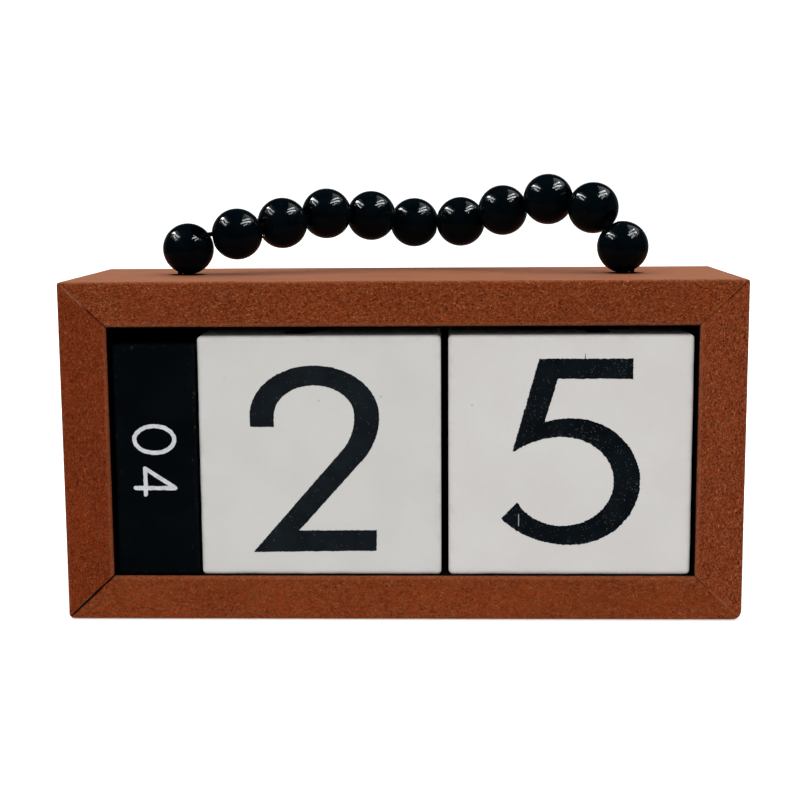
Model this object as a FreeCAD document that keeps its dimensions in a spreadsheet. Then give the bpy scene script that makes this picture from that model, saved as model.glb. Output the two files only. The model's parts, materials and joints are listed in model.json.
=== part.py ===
import FreeCAD, Part
import os
import math
import Sketcher
from FreeCAD import Vector, Placement, Rotation

# Perpetual desk calendar: a mitred box frame of four boards with a closed back,
# two number cubes and three square month bars standing loose in it, and a
# carrying handle of eleven beads threaded on a stiff wire.
#
# Own frame: +Z up, +X to the reader's right, the front of the calendar faces -Y.
# The origin is the centre of the frame's footprint, on the surface it stands on.

doc = FreeCAD.newDocument("perpetual_calendar")

# ---------------------------------------------------------------- dimensions
sheet = doc.addObject("Spreadsheet::Sheet", "dims")
DIMS = [
    # name, millimetres (or degrees, or a count), what it is
    ("frame_width", 140.5, "outer width of the frame"),
    ("frame_height", 70.5, "outer height of the frame"),
    ("board_thick", 9.3, "thickness of the top and bottom boards"),
    ("stile_thick", 9.9, "thickness of the two side boards"),
    ("board_depth", 51.8, "depth of the four boards, front to back"),
    ("panel_thick", 3.0, "thickness of the back panel"),
    ("panel_inset", 1.5, "back panel's edges inside the boards' outer faces"),
    ("panel_corner", 0.6, "rounding of the back panel's corners"),
    ("round_top_left", 0.6, "rounding of the frame's upper left corner"),
    ("round_top_right", 0.6, "rounding of the upper right corner"),
    ("round_low_left", 1.1, "rounding of the lower left corner, sanded by hand"),
    ("round_low_right", 1.9, "rounding of the lower right corner, sanded more"),
    ("outer_edge_round", 0.35, "rounding of the front outer edges"),
    ("inner_edge_round", 0.65, "rounding of the front inner edges"),
    ("cube_side", 50.0, "side of a number cube"),
    ("cube_edge_round", 0.9, "rounding of a cube's edges"),
    ("cube_left_x", -17.0, "middle of the left cube"),
    ("cube_right_x", 34.5, "middle of the right cube"),
    ("cube_inset", 0.8, "cubes' front faces behind the frame's front"),
    ("bar_side", 17.0, "side of a month bar's square section"),
    ("bar_length", 48.5, "height of a month bar"),
    ("bar_edge_round", 0.9, "rounding of a bar's edges"),
    ("bar_x", -51.0, "middle of the month bars"),
    ("bar_inset", 0.5, "front bar's face behind the frame's front"),
    ("bar_pitch", 17.1, "from one bar to the next"),
    ("slip", 0.05, "air under a loose piece that stands on the bottom board"),
    ("bead_diam", 11.1, "diameter of a bead"),
    ("bead_bore", 3.6, "bore of a bead"),
    ("bead_mouth", 0.25, "chamfer at the two mouths of a bead's bore"),
    ("wire_diam", 1.0, "diameter of the handle wire"),
    ("wire_hole", 1.1, "diameter of the wire's blind holes"),
    ("wire_sink", 7.0, "length of wire inside each blind hole"),
    ("wire_hole_deep", 7.3, "depth of the blind holes"),
    ("brad_diam", 1.2, "diameter of a brad's shank"),
    ("brad_head", 1.8, "diameter of a brad's head"),
    ("brad_head_thick", 0.6, "thickness of a brad's head"),
    ("brad_point", 1.4, "length of a brad's point"),
    ("brad_set", 0.3, "heads sunk below the surface"),
    ("brad_play", 0.02, "air around a brad, on the radius"),
    ("mitre_brad_long", 15.0, "length of a mitre brad"),
    ("mitre_brad_y", 17.0, "mitre brads before and behind the boards' middle"),
    ("panel_brad_long", 12.0, "length of a back panel brad"),
    ("panel_brad_x", 45.0, "outer back panel brads left and right of the middle"),
]
for row, (name, value, what) in enumerate(DIMS, start=1):
    sheet.set("A%d" % row, name.replace("_", " "))
    sheet.set("B%d" % row, repr(value))
    sheet.setAlias("B%d" % row, name)
    sheet.set("C%d" % row, what)
doc.recompute()


def val(name):
    return float(sheet.get(name))


W, H, T, TS = val("frame_width"), val("frame_height"), val("board_thick"), val("stile_thick")
DEEP = val("board_depth") + val("panel_thick")
FRONT = -DEEP / 2.0                         # y of the frame's front face
MID = FRONT + val("board_depth") / 2.0      # y of the boards' middle


# ---------------------------------------------------------------- helpers
def plane(body, role):
    for feature in body.Origin.OriginFeatures:
        if feature.Role == role:
            return feature
    raise ValueError(role)


def new_body(label):
    body = doc.addObject("PartDesign::Body", label)
    body.Label = label
    return body


def new_sketch(body, name, role, offset=None):
    sk = body.newObject("Sketcher::SketchObject", name)
    sk.AttachmentSupport = [(plane(body, role), "")]
    sk.MapMode = "FlatFace"
    if offset is not None:
        sk.AttachmentOffset = offset
    return sk


def chain(sk, points):
    """Closed chain of lines through the points; returns the lines' indices."""
    ids = []
    count = len(points)
    for k in range(count):
        a, b = points[k], points[(k + 1) % count]
        ids.append(sk.addGeometry(Part.LineSegment(Vector(a[0], a[1], 0), Vector(b[0], b[1], 0)), False))
    for k in range(count):
        sk.addConstraint(Sketcher.Constraint("Coincident", ids[k], 2, ids[(k + 1) % count], 1))
    return ids


def pin(sk, kind, geo, pos, value, expression, name):
    """Distance from the sketch's origin to a point along one axis, named and bound to the sheet.
    The value carries the sign; the expression gives the same signed number."""
    c = sk.addConstraint(Sketcher.Constraint(kind, -1, 1, geo, pos, value))
    sk.renameConstraint(c, name)
    sk.setExpression("Constraints." + name, expression)
    return c


def rounded_pad_box(label, side_x, side_y, height, edge_round, sx, sy, sz, sr):
    """A block on the body's XY plane, centred, every edge rounded."""
    body = new_body(label)
    sk = new_sketch(body, label + "_outline", "XY_Plane")
    x, y = side_x / 2.0, side_y / 2.0
    ids = chain(sk, [(-x, -y), (x, -y), (x, y), (-x, y)])
    sk.addConstraint(Sketcher.Constraint("Horizontal", ids[0]))
    sk.addConstraint(Sketcher.Constraint("Vertical", ids[1]))
    sk.addConstraint(Sketcher.Constraint("Horizontal", ids[2]))
    sk.addConstraint(Sketcher.Constraint("Vertical", ids[3]))
    pin(sk, "DistanceX", ids[0], 1, -x, "-(%s) / 2" % sx, "left")
    pin(sk, "DistanceY", ids[0], 1, -y, "-(%s) / 2" % sy, "front")
    pin(sk, "DistanceX", ids[1], 2, x, "(%s) / 2" % sx, "right")
    pin(sk, "DistanceY", ids[1], 2, y, "(%s) / 2" % sy, "back")
    pad = body.newObject("PartDesign::Pad", label + "_block")
    pad.Profile = sk
    pad.Length = height
    pad.setExpression("Length", sz)
    doc.recompute()
    fil = body.newObject("PartDesign::Fillet", label + "_edges")
    fil.Base = (pad, ["Edge%d" % (k + 1) for k in range(len(pad.Shape.Edges))])
    fil.Radius = edge_round
    fil.setExpression("Radius", sr)
    body.Tip = fil
    doc.recompute()
    return body


CUT_LOG = []


def checked_cut(feature, base_shape, what):
    """A pocket must take material away."""
    doc.recompute()
    removed = base_shape.Volume - feature.Shape.Volume
    CUT_LOG.append((what, removed))
    if removed <= 1e-6:
        raise RuntimeError("nothing cut: " + what)
    return removed


# ---------------------------------------------------------------- frame boards
# Each board is drawn end-on in the XZ plane as a mitred trapezium whose outer
# corners carry one half of the corner rounding, and is extruded front to back.
# The side boards are a little thicker than the top and bottom ones, so the
# mitres run from corner to corner at slightly more than half a right angle.
# The XZ plane's own normal points to -Y, towards the reader.

def board(label, where):
    body = new_body(label)
    # the corners at the outline's two ends, a and b
    end_a, end_b = {"top": ("round_top_left", "round_top_right"),
                    "bottom": ("round_low_right", "round_low_left"),
                    "right": ("round_top_right", "round_low_right"),
                    "left": ("round_low_left", "round_top_left")}[where]
    ra, rb = val(end_a), val(end_b)
    ka, kb = ra / math.sqrt(2.0), rb / math.sqrt(2.0)
    hw, hh = W / 2.0, H / 2.0
    # outline in a flat frame (u along the board, v outwards) about the frame's centre
    if where in ("top", "bottom"):
        half, out, own, other = hw, hh, T, TS
    else:
        half, out, own, other = hh, hw, TS, T
    inner = out - own
    half_in = half - other

    def place(u, v):
        # turn the (u, v) outline to its side of the frame, as sketch x and y
        if where == "top":
            return (u, v + hh)
        if where == "bottom":
            return (-u, -v + hh)
        if where == "right":
            return (v, -u + hh)
        return (-v, u + hh)

    sk = new_sketch(body, label + "_outline", "XZ_Plane")
    p_in_a = place(-half_in, inner)
    p_in_b = place(half_in, inner)
    p_dg_b = place(half - rb + kb, out - rb + kb)     # on the mitre, end of the rounding
    p_ou_b = place(half - rb, out)
    p_ou_a = place(-half + ra, out)
    p_dg_a = place(-half + ra - ka, out - ra + ka)
    c_b = place(half - rb, out - rb)
    c_a = place(-half + ra, out - ra)

    def line(a, b):
        return sk.addGeometry(Part.LineSegment(Vector(a[0], a[1], 0), Vector(b[0], b[1], 0)), False)

    def arc(c, a, b, r):
        a0 = math.atan2(a[1] - c[1], a[0] - c[0])
        a1 = math.atan2(b[1] - c[1], b[0] - c[0])
        turn = (a1 - a0) % (2 * math.pi)
        circle = Part.Circle(Vector(c[0], c[1], 0), Vector(0, 0, 1), r)
        if turn < math.pi:
            return sk.addGeometry(Part.ArcOfCircle(circle, a0, a0 + turn), False), 1, 2
        return sk.addGeometry(Part.ArcOfCircle(circle, a1, a1 + (2 * math.pi - turn)), False), 2, 1

    g_in = line(p_in_a, p_in_b)
    g_mb = line(p_in_b, p_dg_b)
    g_ab, ab_from, ab_to = arc(c_b, p_dg_b, p_ou_b, rb)
    g_ou = line(p_ou_b, p_ou_a)
    g_aa, aa_from, aa_to = arc(c_a, p_ou_a, p_dg_a, ra)
    g_ma = line(p_dg_a, p_in_a)
    C = Sketcher.Constraint
    sk.addConstraint(C("Coincident", g_in, 2, g_mb, 1))
    sk.addConstraint(C("Coincident", g_mb, 2, g_ab, ab_from))
    sk.addConstraint(C("Coincident", g_ab, ab_to, g_ou, 1))
    sk.addConstraint(C("Coincident", g_ou, 2, g_aa, aa_from))
    sk.addConstraint(C("Coincident", g_aa, aa_to, g_ma, 1))
    sk.addConstraint(C("Coincident", g_ma, 2, g_in, 1))

    # every corner is held by two distances from the sketch's origin
    fw, fh = "dims.frame_width", "dims.frame_height"
    th, th_other = "dims.board_thick", "dims.stile_thick"
    if where in ("left", "right"):
        th, th_other = th_other, th
    cra, crb = "dims." + end_a, "dims." + end_b
    e_half, e_out = (fw, fh) if where in ("top", "bottom") else (fh, fw)

    def signed(sign, expr):
        return expr if sign > 0 else "-(" + expr + ")"

    def hold(geo, pos, pt, u_sign, u_expr, v_expr, tag):
        # u and v expressions in the flat frame, turned with the board
        if where == "top":
            ex, ey = signed(u_sign, u_expr), "(%s) + %s / 2" % (v_expr, fh)
        elif where == "bottom":
            ex, ey = signed(-u_sign, u_expr), "%s / 2 - (%s)" % (fh, v_expr)
        elif where == "right":
            ex, ey = v_expr, "%s / 2 + (%s)" % (fh, signed(-u_sign, u_expr))
        else:
            ex, ey = "-(%s)" % v_expr, "%s / 2 + (%s)" % (fh, signed(u_sign, u_expr))
        pin(sk, "DistanceX", geo, pos, pt[0], ex, tag + "_x")
        pin(sk, "DistanceY", geo, pos, pt[1], ey, tag + "_y")

    u_in = "%s / 2 - %s" % (e_half, th_other)
    v_in = "%s / 2 - %s" % (e_out, th)
    u_dg = "%s / 2 - %s + %s / sqrt(2)"
    v_ou = "%s / 2" % e_out
    hold(g_in, 1, p_in_a, -1, u_in, v_in, "inner_a")
    hold(g_in, 2, p_in_b, 1, u_in, v_in, "inner_b")
    hold(g_mb, 2, p_dg_b, 1, u_dg % (e_half, crb, crb), u_dg % (e_out, crb, crb), "mitre_b")
    hold(g_ma, 1, p_dg_a, -1, u_dg % (e_half, cra, cra), u_dg % (e_out, cra, cra), "mitre_a")
    hold(g_ou, 1, p_ou_b, 1, "%s / 2 - %s" % (e_half, crb), v_ou, "outer_b")
    hold(g_ou, 2, p_ou_a, -1, "%s / 2 - %s" % (e_half, cra), v_ou, "outer_a")
    for g, tag, r, cr in ((g_ab, "round_b", rb, crb), (g_aa, "round_a", ra, cra)):
        c = sk.addConstraint(C("Radius", g, r))
        sk.renameConstraint(c, tag)
        sk.setExpression("Constraints." + tag, cr)

    pad = body.newObject("PartDesign::Pad", label + "_board")
    pad.Profile = sk
    pad.Length = val("board_depth")
    pad.setExpression("Length", "dims.board_depth")
    body.setExpression("Placement.Base.y", "dims.board_depth - (dims.board_depth + dims.panel_thick) / 2")
    doc.recompute()

    # the front edges are eased: the long outer edge with its corner arcs, and the inner edge
    shape = pad.Shape
    yf = min(v.Point.y for v in shape.Vertexes)
    outer, inner_e = [], []
    for n, e in enumerate(shape.Edges, start=1):
        ys = [v.Point.y for v in e.Vertexes]
        if max(abs(y - yf) for y in ys) > 1e-6:
            continue
        mid = e.valueAt((e.FirstParameter + e.LastParameter) / 2.0)
        a, b = e.Vertexes[0].Point, e.Vertexes[-1].Point
        dx, dz = abs(a.x - b.x), abs(a.z - b.z)
        diagonal = dx > 1e-6 and dz > 1e-6 and "Line" in e.Curve.TypeId
        if diagonal:
            continue
        far = max(abs(mid.x) - (W / 2.0 - TS), abs(mid.z - H / 2.0) - (H / 2.0 - T))
        (outer if far > T / 2.0 else inner_e).append("Edge%d" % n)
    tip = pad
    fo = body.newObject("PartDesign::Fillet", label + "_front_outer")
    fo.Base = (tip, outer)
    fo.Radius = val("outer_edge_round")
    fo.setExpression("Radius", "dims.outer_edge_round")
    doc.recompute()
    shape = fo.Shape
    inner_e = []
    for n, e in enumerate(shape.Edges, start=1):
        if "Line" not in e.Curve.TypeId:
            continue
        a, b = e.Vertexes[0].Point, e.Vertexes[-1].Point
        if abs(a.y - yf) > 1e-6 or abs(b.y - yf) > 1e-6:
            continue
        dx, dz = abs(a.x - b.x), abs(a.z - b.z)
        if dx > 1e-6 and dz > 1e-6:
            continue
        mid = (a + b) * 0.5
        far = max(abs(mid.x) - (W / 2.0 - TS), abs(mid.z - H / 2.0) - (H / 2.0 - T))
        if abs(far) < 1e-6:
            inner_e.append("Edge%d" % n)
    fi = body.newObject("PartDesign::Fillet", label + "_front_inner")
    fi.Base = (fo, inner_e)
    fi.Radius = val("inner_edge_round")
    fi.setExpression("Radius", "dims.inner_edge_round")
    body.Tip = fi
    doc.recompute()
    return body


def drill(body, name, role, offset, circles, depth, depth_expr, reversed_=False):
    """Round blind holes from one flat sketch. circles: (x, y, diameter, x_expr, y_expr, d_expr)."""
    sk = new_sketch(body, name + "_sketch", role, offset)
    for n, (x, y, d, ex, ey, ed) in enumerate(circles):
        g = sk.addGeometry(Part.Circle(Vector(x, y, 0), Vector(0, 0, 1), d / 2.0), False)
        if abs(x) > 1e-9:
            pin(sk, "DistanceX", g, 3, x, ex, "x%d_at" % n)
        else:
            sk.addConstraint(Sketcher.Constraint("PointOnObject", g, 3, -2))
        if abs(y) > 1e-9:
            pin(sk, "DistanceY", g, 3, y, ey, "y%d_at" % n)
        else:
            sk.addConstraint(Sketcher.Constraint("PointOnObject", g, 3, -1))
        c = sk.addConstraint(Sketcher.Constraint("Diameter", g, d))
        sk.renameConstraint(c, "d%d_wide" % n)
        sk.setExpression("Constraints.d%d_wide" % n, ed)
    before = body.Tip.Shape
    cut = body.newObject("PartDesign::Pocket", name)
    cut.Profile = sk
    cut.Type = "Length"
    cut.Length = depth
    cut.setExpression("Length", depth_expr)
    cut.Reversed = reversed_
    body.Tip = cut
    checked_cut(cut, before, name)
    return cut


top_rail = board("top_rail", "top")
bottom_rail = board("bottom_rail", "bottom")
left_stile = board("left_stile", "left")
right_stile = board("right_stile", "right")

# ---------------------------------------------------------------- handle route
# Vertices of the wire between the beads, x, y, z in the own frame. The wire
# comes straight up out of the top board, and the row of beads rises and falls
# as it is bent, with its middle leaning back.
WIRE = [
    (-49.6, 1.31, 71.25), (-43.62, -3.74, 79.02), (-31.59, 0.36, 81.06), (-22.28, 6.87, 82.59),
    (-13.4, 13.87, 82.87), (-3.91, 19.88, 81.68), (7.29, 20.78, 80.94), (17.46, 16.09, 82.48),
    (27.18, 10.88, 85.01), (37.05, 5.44, 85.9), (43.96, -1.8, 81.0), (49.47, -0.64, 71.25),
]
# centres of the eleven beads
BEADS = [
    (-47.23, -0.95, 76.11), (-36.48, -1.02, 79.24), (-27.12, 4.74, 81.43), (-17.78, 10.62, 83.37),
    (-7.98, 16.06, 82.73), (1.68, 21.45, 81.03), (12.33, 17.99, 81.24), (21.74, 12.49, 83.83),
    (31.63, 7.83, 86.27), (41.11, 2.16, 84.41), (47.17, -2.28, 76.11),
]

# ---------------------------------------------------------------- holes in the boards
z_lo, z_hi = T / 2.0, H - T / 2.0
ym = val("mitre_brad_y")
shank = val("brad_diam") + 2 * val("brad_play")
head = val("brad_head") + 2 * val("brad_play")
shank_x = "dims.brad_diam + 2 * dims.brad_play"
head_x = "dims.brad_head + 2 * dims.brad_play"

# blind holes for the wire's ends, drilled down from the top board's upper face
drill(top_rail, "wire_holes", "XY_Plane", Placement(Vector(0, 0, H), Rotation()),
      [(WIRE[0][0], WIRE[0][1] - (FRONT + val("board_depth")), val("wire_hole"),
        "-49.6", "1.31 - (dims.board_depth - dims.panel_thick) / 2", "dims.wire_hole"),
       (WIRE[-1][0], WIRE[-1][1] - (FRONT + val("board_depth")), val("wire_hole"),
        "49.47", "-0.64 - (dims.board_depth - dims.panel_thick) / 2", "dims.wire_hole")],
      val("wire_hole_deep"), "dims.wire_hole_deep")


def side_holes(body, tag, side, heights, diameter, d_expr, depth, depth_expr):
    """Holes drilled inwards from the frame's outer side, two in depth at each height.
    The YZ plane's sketch has x along +Y and y along +Z."""
    circles = []
    mid = -val("board_depth") / 2.0         # the boards' middle in the body's own frame
    for z, ez in heights:
        for s in (-1, 1):
            circles.append((mid + s * ym, z, diameter,
                            "-dims.board_depth / 2 %s dims.mitre_brad_y" % ("+" if s > 0 else "-"), ez, d_expr))
    drill(body, tag, "YZ_Plane", Placement(Vector(0, 0, side * W / 2.0), Rotation()), circles,
          depth, depth_expr, reversed_=(side < 0))


LOW = (z_lo, "dims.board_thick / 2")
HIGH = (z_hi, "dims.frame_height - dims.board_thick / 2")
long_hole = val("mitre_brad_long") + val("brad_set") + 0.3
long_expr = "dims.mitre_brad_long + dims.brad_set + 0.3"
cb_deep = val("brad_set") + val("brad_head_thick") + 0.02
cb_expr = "dims.brad_set + dims.brad_head_thick + 0.02"
for side, word in ((-1, "left"), (1, "right")):
    side_holes(top_rail, "top_pilot_" + word, side, [HIGH], shank, shank_x, long_hole, long_expr)
    side_holes(bottom_rail, "bottom_pilot_" + word, side, [LOW], shank, shank_x, long_hole, long_expr)
side_holes(left_stile, "left_pilot", -1, [LOW, HIGH], shank, shank_x, TS, "dims.stile_thick")
side_holes(left_stile, "left_sink", -1, [LOW, HIGH], head, head_x, cb_deep, cb_expr)
side_holes(right_stile, "right_pilot", 1, [LOW, HIGH], shank, shank_x, TS, "dims.stile_thick")
side_holes(right_stile, "right_sink", 1, [LOW, HIGH], head, head_x, cb_deep, cb_expr)

# back panel brads: three into the top board, three into the bottom one, one into each stile
px = val("panel_brad_x")
sx = W / 2.0 - TS / 2.0
PANEL_SPOTS = [(-px, z_hi), (0.0, z_hi), (px, z_hi), (-px, z_lo), (0.0, z_lo), (px, z_lo), (-sx, H / 2.0), (sx, H / 2.0)]


def spot_expr(x, z):
    ex = {-1: "-dims.panel_brad_x", 0: "0", 1: "dims.panel_brad_x"}
    if abs(abs(x) - sx) < 1e-9:
        e1 = "%s(dims.frame_width / 2 - dims.stile_thick / 2)" % ("-" if x < 0 else "")
    else:
        e1 = ex[(x > 0) - (x < 0)]
    if abs(z - H / 2.0) < 1e-9:
        e2 = "dims.frame_height / 2"
    elif z > H / 2.0:
        e2 = HIGH[1]
    else:
        e2 = LOW[1]
    return e1, e2


def back_holes(body, tag, spots, diameter, d_expr, y_at, depth, depth_expr):
    """Holes drilled forwards from a plane facing the back. The XZ plane's sketch has x along +X
    and y along +Z, and its normal points to -Y, the way the drill goes, so the cut is reversed."""
    circles = []
    for x, z in spots:
        e1, e2 = spot_expr(x, z)
        circles.append((x, z, diameter, e1, e2, d_expr))
    drill(body, tag, "XZ_Plane", Placement(Vector(0, 0, -y_at), Rotation()), circles, depth, depth_expr, reversed_=True)


in_board = val("panel_brad_long") - val("panel_thick") + val("brad_set") + 0.3
in_expr = "dims.panel_brad_long - dims.panel_thick + dims.brad_set + 0.3"
back_holes(top_rail, "top_back_pilot", PANEL_SPOTS[0:3], shank, shank_x, 0.0, in_board, in_expr)
back_holes(bottom_rail, "bottom_back_pilot", PANEL_SPOTS[3:6], shank, shank_x, 0.0, in_board, in_expr)
back_holes(left_stile, "left_back_pilot", PANEL_SPOTS[6:7], shank, shank_x, 0.0, in_board, in_expr)
back_holes(right_stile, "right_back_pilot", PANEL_SPOTS[7:8], shank, shank_x, 0.0, in_board, in_expr)

# ---------------------------------------------------------------- back panel
back_panel = new_body("back_panel")
sk = new_sketch(back_panel, "back_panel_outline", "XZ_Plane")
# the panel stays a little inside the boards' outer faces all round
PI = val("panel_inset")
PX, PL, PH = W / 2 - PI, PI, H - PI
ids = chain(sk, [(-PX, PL), (PX, PL), (PX, PH), (-PX, PH)])
for n, kind in enumerate(("Horizontal", "Vertical", "Horizontal", "Vertical")):
    sk.addConstraint(Sketcher.Constraint(kind, ids[n]))
pin(sk, "DistanceX", ids[0], 1, -PX, "dims.panel_inset - dims.frame_width / 2", "left")
pin(sk, "DistanceX", ids[1], 2, PX, "dims.frame_width / 2 - dims.panel_inset", "right")
pin(sk, "DistanceY", ids[0], 1, PL, "dims.panel_inset", "low")
pin(sk, "DistanceY", ids[1], 2, PH, "dims.frame_height - dims.panel_inset", "high")
pad = back_panel.newObject("PartDesign::Pad", "back_panel_board")
pad.Profile = sk
pad.Length = val("panel_thick")
pad.setExpression("Length", "dims.panel_thick")
doc.recompute()
fil = pad
corner = []
for n, e in enumerate(fil.Shape.Edges, start=1):
    a, b = e.Vertexes[0].Point, e.Vertexes[-1].Point
    if abs(a.x - b.x) < 1e-6 and abs(a.z - b.z) < 1e-6:
        corner.append("Edge%d" % n)
nxt = back_panel.newObject("PartDesign::Fillet", "back_panel_corners")
nxt.Base = (fil, corner)
nxt.Radius = val("panel_corner")
nxt.setExpression("Radius", "dims.panel_corner")
doc.recompute()
fil = nxt
rim = []
yb = max(v.Point.y for v in fil.Shape.Vertexes)
for n, e in enumerate(fil.Shape.Edges, start=1):
    if all(abs(v.Point.y - yb) < 1e-6 for v in e.Vertexes):
        rim.append("Edge%d" % n)
cham = back_panel.newObject("PartDesign::Chamfer", "back_panel_rim")
cham.Base = (fil, rim)
cham.Size = 0.4
back_panel.Tip = cham
back_panel.setExpression("Placement.Base.y", "(dims.board_depth + dims.panel_thick) / 2")
doc.recompute()
back_holes(back_panel, "panel_pilot", PANEL_SPOTS, shank, shank_x, 0.0, val("panel_thick"), "dims.panel_thick")
back_holes(back_panel, "panel_sink", PANEL_SPOTS, head, head_x, 0.0, cb_deep, cb_expr)


# ---------------------------------------------------------------- brads
# One brad is turned about its own axis: head, shank and point. The group is made
# of eight placed copies of it, each a solid of its own.
def brad(label, long_name):
    body = new_body(label)
    sk = new_sketch(body, label + "_profile", "XZ_Plane")
    rh, rs, th = val("brad_head") / 2, val("brad_diam") / 2, val("brad_head_thick")
    ln, tip = val(long_name), val("brad_point")
    pts = [(0, 0), (rh, 0), (rh, -th), (rs, -th), (rs, -(ln - tip)), (0, -ln)]
    ids = chain(sk, pts)
    ex = ["0", "dims.brad_head / 2", "dims.brad_head / 2", "dims.brad_diam / 2", "dims.brad_diam / 2", "0"]
    ey = ["0", "0", "-dims.brad_head_thick", "-dims.brad_head_thick",
          "dims.brad_point - dims.%s" % long_name, "-dims.%s" % long_name]
    for n, (x, y) in enumerate(pts):
        if x == 0 and y == 0:
            sk.addConstraint(Sketcher.Constraint("Coincident", ids[n], 1, -1, 1))
            continue
        if x == 0:
            sk.addConstraint(Sketcher.Constraint("PointOnObject", ids[n], 1, -2))
        else:
            pin(sk, "DistanceX", ids[n], 1, x, ex[n], "x%d_at" % n)
        if y == 0:
            sk.addConstraint(Sketcher.Constraint("PointOnObject", ids[n], 1, -1))
        else:
            pin(sk, "DistanceY", ids[n], 1, y, ey[n], "y%d_at" % n)
    rev = body.newObject("PartDesign::Revolution", label + "_turned")
    rev.Profile = sk
    rev.ReferenceAxis = (sk, ["V_Axis"])
    rev.Angle = 360.0
    body.Tip = rev
    doc.recompute()
    return body


def group(label, form, placements):
    """Placed copies of one piece, kept as separate solids in one node."""
    links = []
    for n, pl in enumerate(placements, start=1):
        link = doc.addObject("App::Link", "%s_%d" % (label, n))
        link.LinkedObject = form
        link.LinkTransform = False
        link.Placement = pl
        links.append(link)
    comp = doc.addObject("Part::Compound", label)
    comp.Links = links
    comp.Label = label
    doc.recompute()
    return comp


mitre_form = brad("mitre_brad_form", "mitre_brad_long")
panel_form = brad("panel_brad_form", "panel_brad_long")
inset = val("brad_set")
places = []
for side in (-1, 1):
    for z in (z_lo, z_hi):
        for s in (-1, 1):
            # the brad's own axis points from its point to its head, along the side's outward normal
            rot = Rotation(Vector(0, 0, 1), Vector(side, 0, 0))
            places.append(Placement(Vector(side * (W / 2.0 - inset), MID + s * ym, z), rot))
mitre_brads = group("mitre_brads", mitre_form, places)
places = [Placement(Vector(x, DEEP / 2.0 - inset, z), Rotation(Vector(0, 0, 1), Vector(0, 1, 0)))
          for x, z in PANEL_SPOTS]
back_panel_brads = group("back_panel_brads", panel_form, places)

# ---------------------------------------------------------------- cubes and month bars
slip = val("slip")
cubes = []
for label, cx in (("number_cube_left", "cube_left_x"), ("number_cube_right", "cube_right_x")):
    side = val("cube_side")
    body = rounded_pad_box(label, side, side, side, val("cube_edge_round"),
                           "dims.cube_side", "dims.cube_side", "dims.cube_side", "dims.cube_edge_round")
    body.setExpression("Placement.Base.x", "dims.%s" % cx)
    body.setExpression("Placement.Base.y",
                       "dims.cube_inset + dims.cube_side / 2 - (dims.board_depth + dims.panel_thick) / 2")
    body.setExpression("Placement.Base.z", "dims.board_thick + dims.slip")
    cubes.append(body)

bars = []
for n, label in enumerate(("month_bar_front", "month_bar_middle", "month_bar_rear")):
    side = val("bar_side")
    body = rounded_pad_box(label, side, side, val("bar_length"), val("bar_edge_round"),
                           "dims.bar_side", "dims.bar_side", "dims.bar_length", "dims.bar_edge_round")
    body.setExpression("Placement.Base.x", "dims.bar_x")
    body.setExpression("Placement.Base.y",
                       "dims.bar_inset + dims.bar_side / 2 + %d * dims.bar_pitch"
                       " - (dims.board_depth + dims.panel_thick) / 2" % n)
    body.setExpression("Placement.Base.z", "dims.board_thick + dims.slip")
    bars.append(body)

# ---------------------------------------------------------------- handle: beads and wire
wire_pts = [Vector(*p) for p in WIRE]


def bead(n):
    """A ball with a bore, turned about the bore's axis, its mouths chamfered."""
    label = "bead_%02d" % n
    body = new_body(label)
    sk = new_sketch(body, label + "_profile", "XZ_Plane")
    rb, rr, ch = val("bead_diam") / 2, val("bead_bore") / 2, val("bead_mouth")
    x1 = rr + ch
    z1 = math.sqrt(rb * rb - x1 * x1)
    z0 = z1 - ch
    a0 = math.atan2(-z1, x1)
    arc = sk.addGeometry(Part.ArcOfCircle(Part.Circle(Vector(0, 0, 0), Vector(0, 0, 1), rb), a0, -a0), False)
    l1 = sk.addGeometry(Part.LineSegment(Vector(x1, z1, 0), Vector(rr, z0, 0)), False)
    l2 = sk.addGeometry(Part.LineSegment(Vector(rr, z0, 0), Vector(rr, -z0, 0)), False)
    l3 = sk.addGeometry(Part.LineSegment(Vector(rr, -z0, 0), Vector(x1, -z1, 0)), False)
    C = Sketcher.Constraint
    sk.addConstraint(C("Coincident", arc, 3, -1, 1))
    sk.addConstraint(C("Coincident", arc, 2, l1, 1))
    sk.addConstraint(C("Coincident", l1, 2, l2, 1))
    sk.addConstraint(C("Coincident", l2, 2, l3, 1))
    sk.addConstraint(C("Coincident", l3, 2, arc, 1))
    sk.addConstraint(C("Symmetric", l2, 1, l2, 2, -1))
    c = sk.addConstraint(C("Radius", arc, rb))
    sk.renameConstraint(c, "ball")
    sk.setExpression("Constraints.ball", "dims.bead_diam / 2")
    pin(sk, "DistanceX", l2, 1, rr, "dims.bead_bore / 2", "bore")
    pin(sk, "DistanceX", l1, 1, x1, "dims.bead_bore / 2 + dims.bead_mouth", "mouth_hi")
    pin(sk, "DistanceX", l3, 2, x1, "dims.bead_bore / 2 + dims.bead_mouth", "mouth_lo")
    c = sk.addConstraint(C("DistanceY", l1, 2, l1, 1, ch))
    sk.renameConstraint(c, "mouth_deep")
    sk.setExpression("Constraints.mouth_deep", "dims.bead_mouth")
    rev = body.newObject("PartDesign::Revolution", label + "_turned")
    rev.Profile = sk
    rev.ReferenceAxis = (sk, ["V_Axis"])
    rev.Angle = 360.0
    body.Tip = rev
    doc.recompute()
    along = wire_pts[n] - wire_pts[n - 1]
    body.Placement = Placement(Vector(*BEADS[n - 1]), Rotation(Vector(0, 0, 1), along))
    return body


beads = [bead(n) for n in range(1, 12)]

# The wire's centre line: straight runs joined by tangent arcs, from the bottom of
# one blind hole to the bottom of the other.
route = [Vector(WIRE[0][0], WIRE[0][1], H - val("wire_sink"))] + wire_pts + \
        [Vector(WIRE[-1][0], WIRE[-1][1], H - val("wire_sink"))]


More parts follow.
